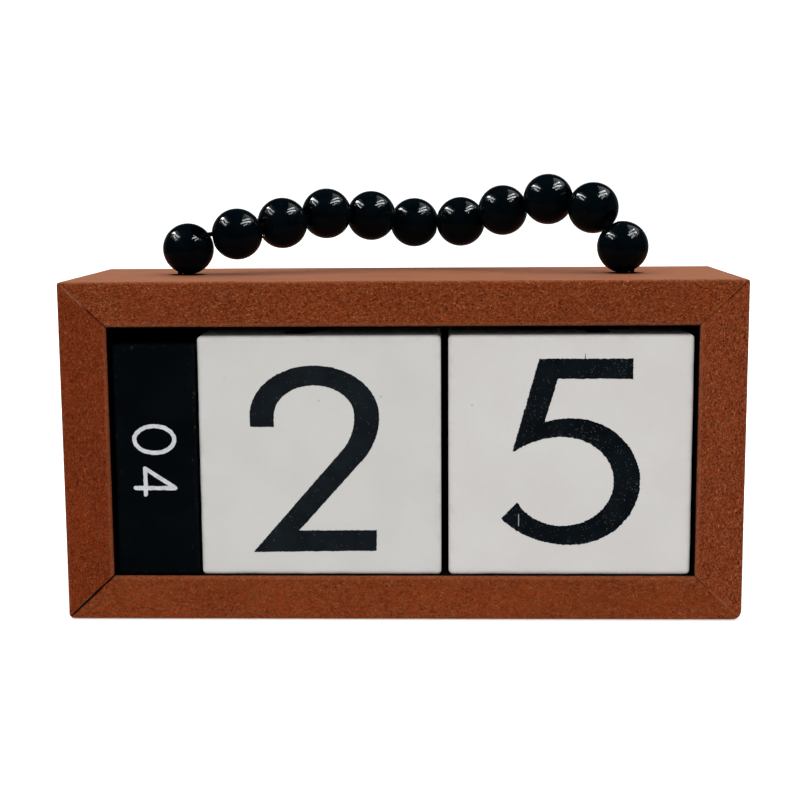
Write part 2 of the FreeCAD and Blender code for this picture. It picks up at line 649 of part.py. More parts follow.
def rounded_path(points, radius_for):
    edges, radii = [], []
    start = points[0]
    for k in range(1, len(points) - 1):
        a, b, c = points[k - 1], points[k], points[k + 1]
        u = (b - a).normalize()
        v = (c - b).normalize()
        turn = math.acos(max(-1.0, min(1.0, u.dot(v))))
        r = radius_for(turn)
        back = r * math.tan(turn / 2.0)
        p, q = b - u * back, b + v * back
        bis = (v - u).normalize()
        centre = b + bis * (r / math.cos(turn / 2.0))
        m = centre - bis * r
        edges.append(Part.LineSegment(start, p).toShape())
        edges.append(Part.Arc(p, m, q).toShape())
        radii.append(r)
        start = q
    edges.append(Part.LineSegment(start, points[-1]).toShape())
    return Part.Wire(edges), radii


path_wire, bend_radii = rounded_path(route, lambda turn: 1.1 if turn > math.radians(30) else 2.2)
print("bend radii of the handle wire, mm:", bend_radii)
handle_path = doc.addObject("Part::Feature", "handle_path")
handle_path.Shape = path_wire
handle_path.Placement = Placement()
section = doc.addObject("Part::Circle", "wire_section")
section.setExpression("Radius", "dims.wire_diam / 2")
section.Placement = Placement(route[0], Rotation())
doc.recompute()
handle_wire = doc.addObject("Part::Sweep", "handle_wire")
handle_wire.Label = "handle_wire"
handle_wire.Sections = [section]
handle_wire.Spine = (handle_path, ["Edge%d" % (k + 1) for k in range(len(path_wire.Edges))])
handle_wire.Solid = True
handle_wire.Frenet = False
doc.recompute()
expected = math.pi * (val("wire_diam") / 2) ** 2 * path_wire.Length
print("handle wire: length %.2f mm, volume %.3f, section times length %.3f"
      % (path_wire.Length, handle_wire.Shape.Volume, expected))
if abs(handle_wire.Shape.Volume / expected - 1.0) > 0.01:
    raise RuntimeError("handle wire volume")

# ---------------------------------------------------------------- checks and export
doc.recompute()
PARTS = [top_rail, bottom_rail, left_stile, right_stile, back_panel, mitre_brads, back_panel_brads,
         handle_wire] + beads + cubes + bars
bad = []
for obj in doc.Objects:
    state = list(obj.State)
    if "Invalid" in state or "Error" in state:
        bad.append((obj.Name, state))
for obj in PARTS:
    if obj.Shape.isNull() or not obj.Shape.isValid() or not obj.Shape.Solids:
        bad.append((obj.Label, "shape"))
if bad:
    raise RuntimeError("failed objects: %r" % bad)
for what, removed in CUT_LOG:
    print("cut %-22s %8.3f mm3" % (what, removed))

os.makedirs("parts", exist_ok=True)
for obj in PARTS:
    obj.Shape.exportStep(os.path.join("parts", obj.Label + ".step"))
    bb = obj.Shape.BoundBox
    print("%-20s solids %d  volume %10.2f  x %.2f..%.2f  y %.2f..%.2f  z %.2f..%.2f"
          % (obj.Label, len(obj.Shape.Solids), obj.Shape.Volume, bb.XMin, bb.XMax, bb.YMin, bb.YMax, bb.ZMin, bb.ZMax))
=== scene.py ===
import bpy
import bmesh
import json
import math
import random
import numpy as np
from mathutils import Matrix, Vector, noise

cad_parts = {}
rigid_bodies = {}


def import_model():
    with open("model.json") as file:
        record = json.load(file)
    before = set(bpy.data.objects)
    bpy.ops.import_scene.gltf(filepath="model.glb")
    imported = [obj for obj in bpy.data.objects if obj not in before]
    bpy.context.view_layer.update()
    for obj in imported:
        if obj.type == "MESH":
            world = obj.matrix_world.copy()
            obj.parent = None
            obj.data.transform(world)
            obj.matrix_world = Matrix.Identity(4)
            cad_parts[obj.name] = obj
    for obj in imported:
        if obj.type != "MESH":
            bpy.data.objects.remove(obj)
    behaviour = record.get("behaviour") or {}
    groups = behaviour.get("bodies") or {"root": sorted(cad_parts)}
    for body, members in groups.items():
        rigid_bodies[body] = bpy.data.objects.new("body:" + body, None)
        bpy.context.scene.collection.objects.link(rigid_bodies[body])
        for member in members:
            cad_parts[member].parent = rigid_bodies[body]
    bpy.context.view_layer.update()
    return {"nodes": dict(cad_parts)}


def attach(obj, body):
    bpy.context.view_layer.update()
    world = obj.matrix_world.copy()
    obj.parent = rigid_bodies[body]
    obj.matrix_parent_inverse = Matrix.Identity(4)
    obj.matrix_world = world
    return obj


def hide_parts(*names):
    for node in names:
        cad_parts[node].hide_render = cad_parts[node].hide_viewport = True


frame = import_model()
MM = 0.001

# Sizes of the calendar in millimetres, in its own frame: +Z up, front face towards -Y.
W, H, D = 140.5, 70.5, 51.8
T, TS = 9.3, 9.9                 # top and bottom boards, side boards
FRONT = -27.4
ROUND = {"tl": 0.6, "tr": 0.6, "bl": 1.1, "br": 1.9}
WIRE = [
    (-49.6, 1.31, 71.25), (-43.62, -3.74, 79.02), (-31.59, 0.36, 81.06), (-22.28, 6.87, 82.59),
    (-13.4, 13.87, 82.87), (-3.91, 19.88, 81.68), (7.29, 20.78, 80.94), (17.46, 16.09, 82.48),
    (27.18, 10.88, 85.01), (37.05, 5.44, 85.9), (43.96, -1.8, 81.0), (49.47, -0.64, 71.25),
]
BEADS = [
    (-47.23, -0.95, 76.11), (-36.48, -1.02, 79.24), (-27.12, 4.74, 81.43), (-17.78, 10.62, 83.37),
    (-7.98, 16.06, 82.73), (1.68, 21.45, 81.03), (12.33, 17.99, 81.24), (21.74, 12.49, 83.83),
    (31.63, 7.83, 86.27), (41.11, 2.16, 84.41), (47.17, -2.28, 76.11),
]


# ------------------------------------------------------------------ node helpers
class Mat:
    """A small builder for a procedural material around one principled shader."""

    def __init__(self, name):
        self.m = bpy.data.materials.new(name)
        self.m.use_nodes = True
        self.nt = self.m.node_tree
        self.nt.nodes.clear()
        self.out = self.nt.nodes.new("ShaderNodeOutputMaterial")
        self.bsdf = self.nt.nodes.new("ShaderNodeBsdfPrincipled")
        self.nt.links.new(self.bsdf.outputs[0], self.out.inputs["Surface"])

    def node(self, kind, **props):
        n = self.nt.nodes.new(kind)
        for k, v in props.items():
            setattr(n, k, v)
        return n

    def link(self, a, b):
        self.nt.links.new(a, b)

    def coords(self, offset=(0, 0, 0), stretch=(1, 1, 1)):
        """Object coordinates in millimetres."""
        tc = self.node("ShaderNodeTexCoord")
        mp = self.node("ShaderNodeMapping")
        mp.inputs["Location"].default_value = offset
        mp.inputs["Scale"].default_value = tuple(1000.0 * s for s in stretch)
        self.link(tc.outputs["Object"], mp.inputs["Vector"])
        return mp.outputs["Vector"]

    def noise(self, vec, scale, detail=3.0, rough=0.5, distortion=0.0):
        n = self.node("ShaderNodeTexNoise")
        n.inputs["Scale"].default_value = scale
        n.inputs["Detail"].default_value = detail
        n.inputs["Roughness"].default_value = rough
        n.inputs["Distortion"].default_value = distortion
        self.link(vec, n.inputs["Vector"])
        return n.outputs["Fac"]

    def voronoi(self, vec, scale, feature="F1", randomness=1.0):
        n = self.node("ShaderNodeTexVoronoi", feature=feature)
        n.inputs["Scale"].default_value = scale
        n.inputs["Randomness"].default_value = randomness
        self.link(vec, n.inputs["Vector"])
        return n

    def ramp(self, fac, lo, hi, a=0.0, b=1.0, smooth=True):
        n = self.node("ShaderNodeMapRange")
        n.interpolation_type = "SMOOTHSTEP" if smooth else "LINEAR"
        n.inputs["From Min"].default_value = lo
        n.inputs["From Max"].default_value = hi
        n.inputs["To Min"].default_value = a
        n.inputs["To Max"].default_value = b
        self.link(fac, n.inputs["Value"])
        return n.outputs["Result"]

    def math(self, op, a, b=None, c=None):
        n = self.node("ShaderNodeMath", operation=op)
        for k, v in enumerate((a, b, c)):
            if v is None:
                continue
            if isinstance(v, (int, float)):
                n.inputs[k].default_value = v
            else:
                self.link(v, n.inputs[k])
        return n.outputs[0]

    def mix(self, fac, a, b, blend="MIX"):
        n = self.node("ShaderNodeMix", data_type="RGBA", blend_type=blend)
        fin, ain, bin_ = n.inputs[0], n.inputs[6], n.inputs[7]
        for sock, v in ((fin, fac), (ain, a), (bin_, b)):
            if isinstance(v, (int, float)):
                sock.default_value = v
            elif isinstance(v, tuple):
                sock.default_value = (*v, 1.0) if len(v) == 3 else v
            else:
                self.link(v, sock)
        return n.outputs[2]

    def bump(self, height, distance_mm, strength=1.0, normal=None):
        n = self.node("ShaderNodeBump")
        n.inputs["Strength"].default_value = strength
        n.inputs["Distance"].default_value = distance_mm * MM
        self.link(height, n.inputs["Height"])
        if normal is not None:
            self.link(normal, n.inputs["Normal"])
        return n.outputs["Normal"]

    def zones(self):
        a = self.node("ShaderNodeAttribute", attribute_name="zones")
        s = self.node("ShaderNodeSeparateColor")
        self.link(a.outputs["Color"], s.inputs[0])
        return s.outputs[0], s.outputs[1], s.outputs[2]

    def set(self, name, v):
        s = self.bsdf.inputs[name]
        if isinstance(v, (int, float, tuple)):
            s.default_value = (*v, 1.0) if isinstance(v, tuple) and len(v) == 3 and s.type == "RGBA" else v
        else:
            self.link(v, s)


def lin(r, g, b):
    """8-bit display colour to linear."""
    def f(c):
        c /= 255.0
        return c / 12.92 if c <= 0.04045 else ((c + 0.055) / 1.055) ** 2.4
    return (f(r), f(g), f(b))


# ------------------------------------------------------------------ materials
def frame_material(name, seed, along, tint, rough_look, contact_shade_spots=()):
    """Fibre board stained red-brown. The sawn front shows short curly fibres; the outer faces
    are smooth and a little glossier; the inside is painted black. 'zones' holds the masks:
    red inside, green sawn front, blue wear. 'joints' marks the mitres: red dark, green light."""
    m = Mat(name)
    off = (17.3 * seed, 5.1 * seed, 9.7 * seed)
    stretch = {"x": (0.66, 1.0, 1.0), "z": (1.0, 1.0, 0.66)}[along]
    v = m.coords(off, stretch)
    inside, front, wear = m.zones()
    joints = m.node("ShaderNodeAttribute", attribute_name="joints")
    js = m.node("ShaderNodeSeparateColor")
    m.link(joints.outputs["Color"], js.inputs[0])

    def shade(r, g, b):
        return (r * tint[0], g * tint[1], b * tint[2])

    patch = m.noise(v, 0.09, 2.0, 0.5)
    patch2 = m.noise(v, 0.45, 3.0, 0.6)
    # curly fibres: thin level lines of warped noises
    f1 = m.noise(v, 1.45, 2.0, 0.55, 2.2)
    f2 = m.noise(v, 2.15, 2.0, 0.55, 1.8)
    f3 = m.noise(v, 1.70, 2.0, 0.55, 2.0)
    ridge1 = m.ramp(m.math("ABSOLUTE", m.math("SUBTRACT", f1, 0.5)), 0.0, 0.032, 1.0, 0.0)
    ridge2 = m.ramp(m.math("ABSOLUTE", m.math("SUBTRACT", f2, 0.53)), 0.0, 0.030, 1.0, 0.0)
    ridge3 = m.ramp(m.math("ABSOLUTE", m.math("SUBTRACT", f3, 0.46)), 0.0, 0.045, 1.0, 0.0)
    grain = m.noise(v, 3.5, 4.0, 0.72, 0.6)
    fine = m.noise(v, 5.0, 2.0, 0.6)
    breakup = m.ramp(m.noise(v, 2.3, 2.0, 0.5), 0.40, 0.56, 0.12, 1.0)
    breakup2 = m.ramp(m.noise(v, 1.9, 2.0, 0.5), 0.58, 0.44, 0.10, 1.0)
    fibre = m.math("MULTIPLY", m.math("MAXIMUM", ridge1, m.math("MULTIPLY", ridge2, 0.85)), breakup)
    groove = m.math("MULTIPLY", ridge3, breakup2)
    pits = m.voronoi(v, 1.45)
    pick = m.node("ShaderNodeSeparateColor")
    m.link(pits.outputs["Color"], pick.inputs[0])
    pit = m.math("MULTIPLY", m.ramp(pits.outputs["Distance"], 0.12, 0.30, 1.0, 0.0),
                 m.ramp(pick.outputs[0], 0.70, 0.78))

    base = m.mix(m.ramp(patch, 0.3, 0.7), shade(0.222, 0.0280, 0.0022), shade(0.284, 0.0375, 0.0034))
    base = m.mix(m.ramp(patch2, 0.35, 0.7, 0.0, 0.25), base, shade(0.305, 0.052, 0.0070))
    k = rough_look
    sawn = m.mix(m.ramp(grain, 0.36, 0.60, 0.90 * k, 0.0), base, shade(0.086, 0.0092, 0.0014))
    sawn = m.mix(m.ramp(grain, 0.52, 0.74, 0.0, 0.60 * k), sawn, shade(0.460, 0.098, 0.016))
    sawn = m.mix(m.math("MULTIPLY", groove, 0.85 * k), sawn, shade(0.045, 0.0060, 0.0018))
    sawn = m.mix(m.math("MULTIPLY", fibre, 1.0 * k), sawn, shade(0.910, 0.295, 0.112))
    sawn = m.mix(m.math("MULTIPLY", pit, 0.80), sawn, shade(0.040, 0.0065, 0.0022))
    # smooth outer faces: same stain, pinker, with faint streaks along the board; their colour is also lifted paler and
    # pinker as a painted sheen, standing in for the grazing reflection on the top face
    sv = m.coords(off, {"x": (0.06, 1.0, 1.0), "z": (1.0, 1.0, 0.06)}[along])
    streak = m.noise(sv, 0.8, 3.0, 0.55)
    smooth = m.mix(m.ramp(streak, 0.35, 0.65), (0.292, 0.102, 0.049), (0.352, 0.134, 0.067))
    smooth = m.mix(m.ramp(patch2, 0.45, 0.75, 0.0, 0.35), smooth, (0.390, 0.160, 0.087))
    fleck = m.math("MULTIPLY", ridge1, m.ramp(patch2, 0.5, 0.65))
    smooth = m.mix(m.math("MULTIPLY", fleck, 0.30), smooth, (0.12, 0.032, 0.014))
    col = m.mix(front, smooth, sawn)
    worn = m.math("MULTIPLY", wear, m.ramp(grain, 0.36, 0.58, 0.15, 1.0))
    col = m.mix(m.math("MULTIPLY", worn, 0.62), col, (0.46, 0.185, 0.088))
    col = m.mix(m.math("MULTIPLY", js.outputs[1], m.ramp(grain, 0.30, 0.50, 0.35, 1.0)), col, (0.47, 0.205, 0.105))
    col = m.mix(js.outputs[0], col, (0.0090, 0.0040, 0.0030))
    shine = m.ramp(patch2, 0.3, 0.7, 0.07, 0.09)
    for shade_spot in contact_shade_spots:
        # painted contact shadow: the top board darkened to near black round each wire hole under the end beads,
        # standing in for the beads' shade; its gloss is taken out there too
        near = m.node("ShaderNodeVectorMath", operation="DISTANCE")
        geo = m.node("ShaderNodeTexCoord")
        m.link(geo.outputs["Object"], near.inputs[0])
        near.inputs[1].default_value = tuple(c * MM for c in shade_spot)
        d = m.math("ADD", m.math("MULTIPLY", near.outputs["Value"], 1000.0),
                   m.math("MULTIPLY", m.math("SUBTRACT", patch2, 0.5), 1.6))
        col = m.mix(m.ramp(d, 3.2, 4.8, 0.98, 0.0), col, (0.0030, 0.0018, 0.0016))
        shine = m.math("MULTIPLY", shine, m.ramp(d, 3.2, 4.8, 0.0, 1.0))
    black = m.mix(m.ramp(patch2, 0.3, 0.7), (0.0022, 0.0021, 0.0022), (0.0045, 0.0042, 0.0040))
    col = m.mix(inside, col, black)
    m.set("Base Color", col)
    rough = m.mix(front, (0.46, 0.46, 0.46), (0.85, 0.85, 0.85))
    rough = m.mix(m.ramp(patch2, 0.3, 0.7, 0.0, 0.4), rough, (0.66, 0.66, 0.66))
    rough = m.mix(inside, rough, (0.62, 0.62, 0.62))
    m.set("Roughness", rough)
    m.set("Specular IOR Level", shine)
    hgt = m.math("ADD", m.math("ADD", m.math("MULTIPLY", grain, 0.9), m.math("MULTIPLY", fine, 0.25)),
                 m.math("SUBTRACT", m.math("MULTIPLY", fibre, 0.8),
                        m.math("ADD", m.math("MULTIPLY", pit, 0.9), m.math("MULTIPLY", groove, 0.6))))
    hgt = m.math("MULTIPLY", hgt, m.math("ADD", m.math("MULTIPLY", front, 0.90), 0.10))
    m.set("Normal", m.bump(hgt, 0.16, 0.9))
    return m.m


def board_black():
    """Thin fibre board, rolled with dull black, its pressed screen texture showing faintly."""
    m = Mat("back_board_black")
    v = m.coords()
    p = m.noise(v, 0.12, 3.0, 0.6)
    f = m.noise(v, 1.4, 4.0, 0.6, 0.8)
    s = m.ramp(m.math("ABSOLUTE", m.math("SUBTRACT", f, 0.5)), 0.0, 0.03, 1.0, 0.0)
    dust = m.ramp(m.noise(v, 0.5, 5.0, 0.7), 0.56, 0.75, 0.0, 1.0)
    col = m.mix(m.ramp(p, 0.3, 0.7), (0.006, 0.0062, 0.0066), (0.012, 0.0118, 0.0118))
    col = m.mix(m.math("MULTIPLY", s, 0.25), col, (0.028, 0.022, 0.018))
    col = m.mix(m.math("MULTIPLY", dust, 0.35), col, (0.040, 0.034, 0.030))
    m.set("Base Color", col)
    m.set("Roughness", m.ramp(p, 0.25, 0.75, 0.50, 0.72))
    m.set("Normal", m.bump(m.math("ADD", f, m.math("MULTIPLY", dust, -0.4)), 0.06, 0.6))
    return m.m


def cube_paint(name, seed, warm):
    """Off-white satin paint: faint clouding, roller stipple, small pits and grey specks,
    and a little grime along the edges (blue of 'zones')."""
    m = Mat(name)
    v = m.coords((23.0 * seed, 11.0 * seed, 7.0 * seed))
    inside, front, wear = m.zones()
    cloud = m.noise(v, 0.07, 3.0, 0.55)
    stip = m.noise(v, 1.9, 3.0, 0.6)
    fine = m.noise(v, 5.0, 2.0, 0.5)
    a, b = ((0.690, 0.684, 0.668), (0.722, 0.720, 0.708)) if not warm else ((0.722, 0.704, 0.690), (0.757, 0.742, 0.730))
    col = m.mix(m.ramp(cloud, 0.3, 0.7), a, b)
    col = m.mix(m.ramp(stip, 0.35, 0.70, 0.0, 0.16), col, (0.64, 0.625, 0.60))
    spots = m.voronoi(v, 0.16)
    spot = m.ramp(spots.outputs["Distance"], 0.022, 0.050, 1.0, 0.0)
    pick = m.node("ShaderNodeSeparateColor")
    m.link(spots.outputs["Color"], pick.inputs[0])
    spot = m.math("MULTIPLY", spot, m.ramp(pick.outputs[0], 0.35, 0.45))
    col = m.mix(m.math("MULTIPLY", spot, 0.42), col, (0.30, 0.27, 0.235))
    tiny = m.voronoi(v, 0.55)
    pick2 = m.node("ShaderNodeSeparateColor")
    m.link(tiny.outputs["Color"], pick2.inputs[0])
    t = m.math("MULTIPLY", m.ramp(tiny.outputs["Distance"], 0.05, 0.10, 1.0, 0.0), m.ramp(pick2.outputs[1], 0.72, 0.80))
    col = m.mix(m.math("MULTIPLY", t, 0.22), col, (0.42, 0.39, 0.35))
    grime = m.math("MULTIPLY", wear, m.ramp(m.noise(v, 0.35, 4.0, 0.65), 0.40, 0.70))
    col = m.mix(m.math("MULTIPLY", grime, 0.32), col, (0.46, 0.41, 0.355))
    m.set("Base Color", col)
    m.set("Roughness", m.ramp(stip, 0.3, 0.7, 0.46, 0.60))
    m.set("Specular IOR Level", 0.38)
    h = m.math("SUBTRACT", m.math("ADD", m.math("MULTIPLY", stip, 0.7), m.math("MULTIPLY", fine, 0.2)),
               m.math("ADD", m.math("MULTIPLY", spot, 0.9), m.math("MULTIPLY", t, 0.5)))
    m.set("Normal", m.bump(h, 0.035, 0.55))
    return m.m


def digit_ink(name, seed, body=(0.0054, 0.0098, 0.0140), cloudy=0.0, worn=0.0, scratch=None):
    """Blue-black printed ink with the paint showing through in small pinholes."""
    m = Mat(name)
    v = m.coords((13.0 * seed, 29.0 * seed, 3.0 * seed))
    c = m.noise(v, 0.22, 4.0, 0.6)
    col = m.mix(m.ramp(c, 0.35, 0.70), body, tuple(x * 1.35 + 0.0008 for x in body))
    if cloudy:
        col = m.mix(m.ramp(m.noise(v, 0.10, 2.0, 0.5), 0.40, 0.66, 0.0, cloudy), col, (0.0060, 0.0115, 0.0165))
    cells = m.voronoi(v, 3.9)
    pick = m.node("ShaderNodeSeparateColor")
    m.link(cells.outputs["Color"], pick.inputs[0])
    where = m.ramp(m.noise(v, 0.30, 2.0, 0.5), 0.44, 0.66)
    gate = m.math("GREATER_THAN", pick.outputs[0], m.math("SUBTRACT", 0.978 - 0.07 * worn, m.math("MULTIPLY", where, 0.10 + 0.20 * worn)))
    hole = m.math("MULTIPLY", m.ramp(cells.outputs["Distance"], 0.13, 0.27, 1.0, 0.0), gate)
    col = m.mix(m.math("MULTIPLY", hole, 0.70), col, (0.32, 0.34, 0.35))
    fine = m.noise(v, 4.5, 3.0, 0.6)
    col = m.mix(m.ramp(fine, 0.62, 0.80, 0.0, 0.20), col, (0.022, 0.034, 0.044))
    if scratch:
        # one short upright scratch through the ink
        sep = m.node("ShaderNodeSeparateXYZ")
        geo = m.node("ShaderNodeTexCoord")
        m.link(geo.outputs["Object"], sep.inputs[0])
        dx = m.math("ABSOLUTE", m.math("SUBTRACT", m.math("MULTIPLY", sep.outputs[0], 1000.0), scratch[0]))
        dz = m.math("ABSOLUTE", m.math("SUBTRACT", m.math("MULTIPLY", sep.outputs[2], 1000.0), scratch[1]))
        line = m.math("MULTIPLY", m.ramp(dx, 0.07, 0.13, 1.0, 0.0), m.ramp(dz, 1.1, 1.4, 1.0, 0.0))
        col = m.mix(m.math("MULTIPLY", line, 0.8), col, (0.42, 0.43, 0.44))
    m.set("Base Color", col)
    m.set("Roughness", m.ramp(c, 0.3, 0.7, 0.46, 0.62))
    m.set("Specular IOR Level", 0.16 if worn < 0.5 else 0.10)
    m.set("Normal", m.bump(m.math("SUBTRACT", fine, m.math("MULTIPLY", hole, 1.2)), 0.02, 0.6))
    return m.m


def bar_paint():
    """Blue-black satin paint on the month bars, scuffed to grey along the edges."""
    m = Mat("bar_paint_black")
    v = m.coords()
    inside, front, wear = m.zones()
    c = m.noise(v, 0.05, 3.0, 0.55)
    s = m.noise(v, 1.6, 4.0, 0.6)
    col = m.mix(m.ramp(c, 0.3, 0.7), (0.0007, 0.0022, 0.0038), (0.0016, 0.0044, 0.0070))
    sc = m.noise(v, 1.20, 5.0, 0.7, 0.6)
    scuff = m.math("MULTIPLY", wear, m.ramp(sc, 0.60, 0.66))
    col = m.mix(m.math("MULTIPLY", scuff, 0.42), col, (0.070, 0.078, 0.082))
    chip = m.voronoi(v, 0.22)
    pick = m.node("ShaderNodeSeparateColor")
    m.link(chip.outputs["Color"], pick.inputs[0])
    ch = m.math("MULTIPLY", m.ramp(chip.outputs["Distance"], 0.030, 0.060, 1.0, 0.0), m.ramp(pick.outputs[0], 0.70, 0.78))
    col = m.mix(m.math("MULTIPLY", ch, m.math("ADD", m.math("MULTIPLY", wear, 0.5), 0.12)), col, (0.50, 0.44, 0.30))
    m.set("Base Color", col)
    m.set("Roughness", m.ramp(s, 0.3, 0.7, 0.42, 0.58))
    m.set("Specular IOR Level", 0.055)
    m.set("Normal", m.bump(m.math("SUBTRACT", s, m.math("MULTIPLY", ch, 1.5)), 0.03, 0.5))
    return m.m


def white_ink():
    m = Mat("numeral_white")
    v = m.coords()
    c = m.noise(v, 1.1, 4.0, 0.6)
    thin = m.ramp(m.noise(v, 2.6, 3.0, 0.6), 0.60, 0.78)
    col = m.mix(m.ramp(c, 0.3, 0.7), (0.60, 0.62, 0.66), (0.76, 0.77, 0.79))
    col = m.mix(m.math("MULTIPLY", thin, 0.45), col, (0.22, 0.24, 0.27))
    m.set("Base Color", col)
    m.set("Roughness", m.ramp(c, 0.3, 0.7, 0.42, 0.58))
    m.set("Normal", m.bump(c, 0.02, 0.5))
    return m.m


def bead_lacquer(name, seed):
    """Turned wood under gloss black lacquer. The bead's own Z is its bore."""
    m = Mat(name)
    v = m.coords((3.0 * seed, 0.0, 5.0 * seed))
    ringv = m.coords((0.0, 0.0, 2.0 * seed), (0.04, 0.04, 1.0))
    ring = m.noise(ringv, 1.5, 4.0, 0.6, 0.4)
    ring2 = m.noise(ringv, 4.5, 2.0, 0.5)
    blot = m.noise(v, 0.30, 3.0, 0.55)
    col = m.mix(m.ramp(blot, 0.3, 0.7), (0.0005, 0.0019, 0.0032), (0.0010, 0.0034, 0.0050))
    dustn = m.voronoi(v, 1.6)
    pick = m.node("ShaderNodeSeparateColor")
    m.link(dustn.outputs["Color"], pick.inputs[0])
    d = m.math("MULTIPLY", m.ramp(dustn.outputs["Distance"], 0.07, 0.15, 1.0, 0.0), m.ramp(pick.outputs[0], 0.93, 0.96))
    col = m.mix(m.math("MULTIPLY", d, 0.30), col, (0.12, 0.125, 0.12))
    m.set("Base Color", col)
    m.set("Roughness", m.ramp(blot, 0.3, 0.7, 0.035, 0.085))
    m.set("Specular IOR Level", 0.048)
    h = m.math("ADD", m.math("MULTIPLY", ring, 0.8), m.math("ADD", m.math("MULTIPLY", ring2, 0.45), m.math("MULTIPLY", blot, 0.8)))
    m.set("Normal", m.bump(h, 0.06, 0.40))
    return m.m


def steel():
    m = Mat("brad_steel")
    v = m.coords()
    n = m.noise(v, 2.2, 4.0, 0.6)
    rust = m.ramp(m.noise(v, 0.9, 3.0, 0.6), 0.5, 0.7)
    col = m.mix(m.ramp(n, 0.3, 0.7), (0.24, 0.225, 0.21), (0.42, 0.40, 0.38))
    col = m.mix(m.math("MULTIPLY", rust, 0.5), col, (0.12, 0.045, 0.020))
    m.set("Base Color", col)
    m.set("Metallic", 1.0)
    m.set("Roughness", m.ramp(n, 0.3, 0.7, 0.30, 0.50))
    m.set("Normal", m.bump(n, 0.02, 0.4))
    return m.m


def wire_coat():
    m = Mat("wire_coat_black")
    v = m.coords()
    n = m.noise(v, 1.8, 3.0, 0.6)
    m.set("Base Color", m.mix(m.ramp(n, 0.3, 0.7), (0.0010, 0.0011, 0.0013), (0.0026, 0.0027, 0.0029)))
    m.set("Roughness", m.ramp(n, 0.3, 0.7, 0.50, 0.66))
    m.set("Specular IOR Level", 0.10)
    m.set("Normal", m.bump(n, 0.02, 0.4))
    return m.m


def filler_mat():
    """Stained filler over the sunk brads."""
    m = Mat("brad_filler")
    v = m.coords()
    n = m.noise(v, 2.0, 4.0, 0.65)
    m.set("Base Color", m.mix(m.ramp(n, 0.3, 0.7), (0.135, 0.034, 0.015), (0.23, 0.070, 0.033)))
    m.set("Roughness", m.ramp(n, 0.3, 0.7, 0.60, 0.80))
    m.set("Normal", m.bump(n, 0.05, 0.6))
    return m.m


# ------------------------------------------------------------------ mesh helpers
def make_object(name, verts, faces, material, smooth=True, zones=None, matrix=None, flat_angle=None, joints=None):
    me = bpy.data.meshes.new(name)
    me.from_pydata([tuple(v) for v in verts], [], [tuple(f) for f in faces])
    me.validate(clean_customdata=False)
    me.update()
    for label, values in (("zones", zones), ("joints", joints)):
        if values is not None:
            att = me.color_attributes.new(label, "FLOAT_COLOR", "POINT")
            flat = np.ones((len(me.vertices), 4), dtype=np.float32)
            flat[:, :3] = values
            att.data.foreach_set("color", flat.ravel())
    me.materials.append(material)
    bm = bmesh.new()
    bm.from_mesh(me)
    bmesh.ops.recalc_face_normals(bm, faces=bm.faces)
    for f in bm.faces:
        f.smooth = smooth
    if flat_angle is not None:
        for e in bm.edges:
            if len(e.link_faces) == 2 and e.calc_face_angle(0.0) > flat_angle:
                e.smooth = False
    bm.to_mesh(me)
    bm.free()
    o = bpy.data.objects.new(name, me)
    bpy.context.scene.collection.objects.link(o)
    if matrix is not None:
        o.matrix_world = matrix
    return o


def n3(x, y, z, scale, seed=0.0):
    """Smooth noise about 0, in -1..1."""
    return noise.noise(Vector((x / scale + seed, y / scale + 7.3 * seed, z / scale - 3.1 * seed)))


# ------------------------------------------------------------------ frame boards
def graded(a, b, dense, coarse, grow=1.35):
    """Positions from a to b, dense at a."""
    out, x, step, sign = [a], 0.0, dense, 1 if b > a else -1
    length = abs(b - a)
    while x + step < length - 0.4 * step:
        x += step
        out.append(a + sign * x)
        step = min(step * grow, coarse)
    return out


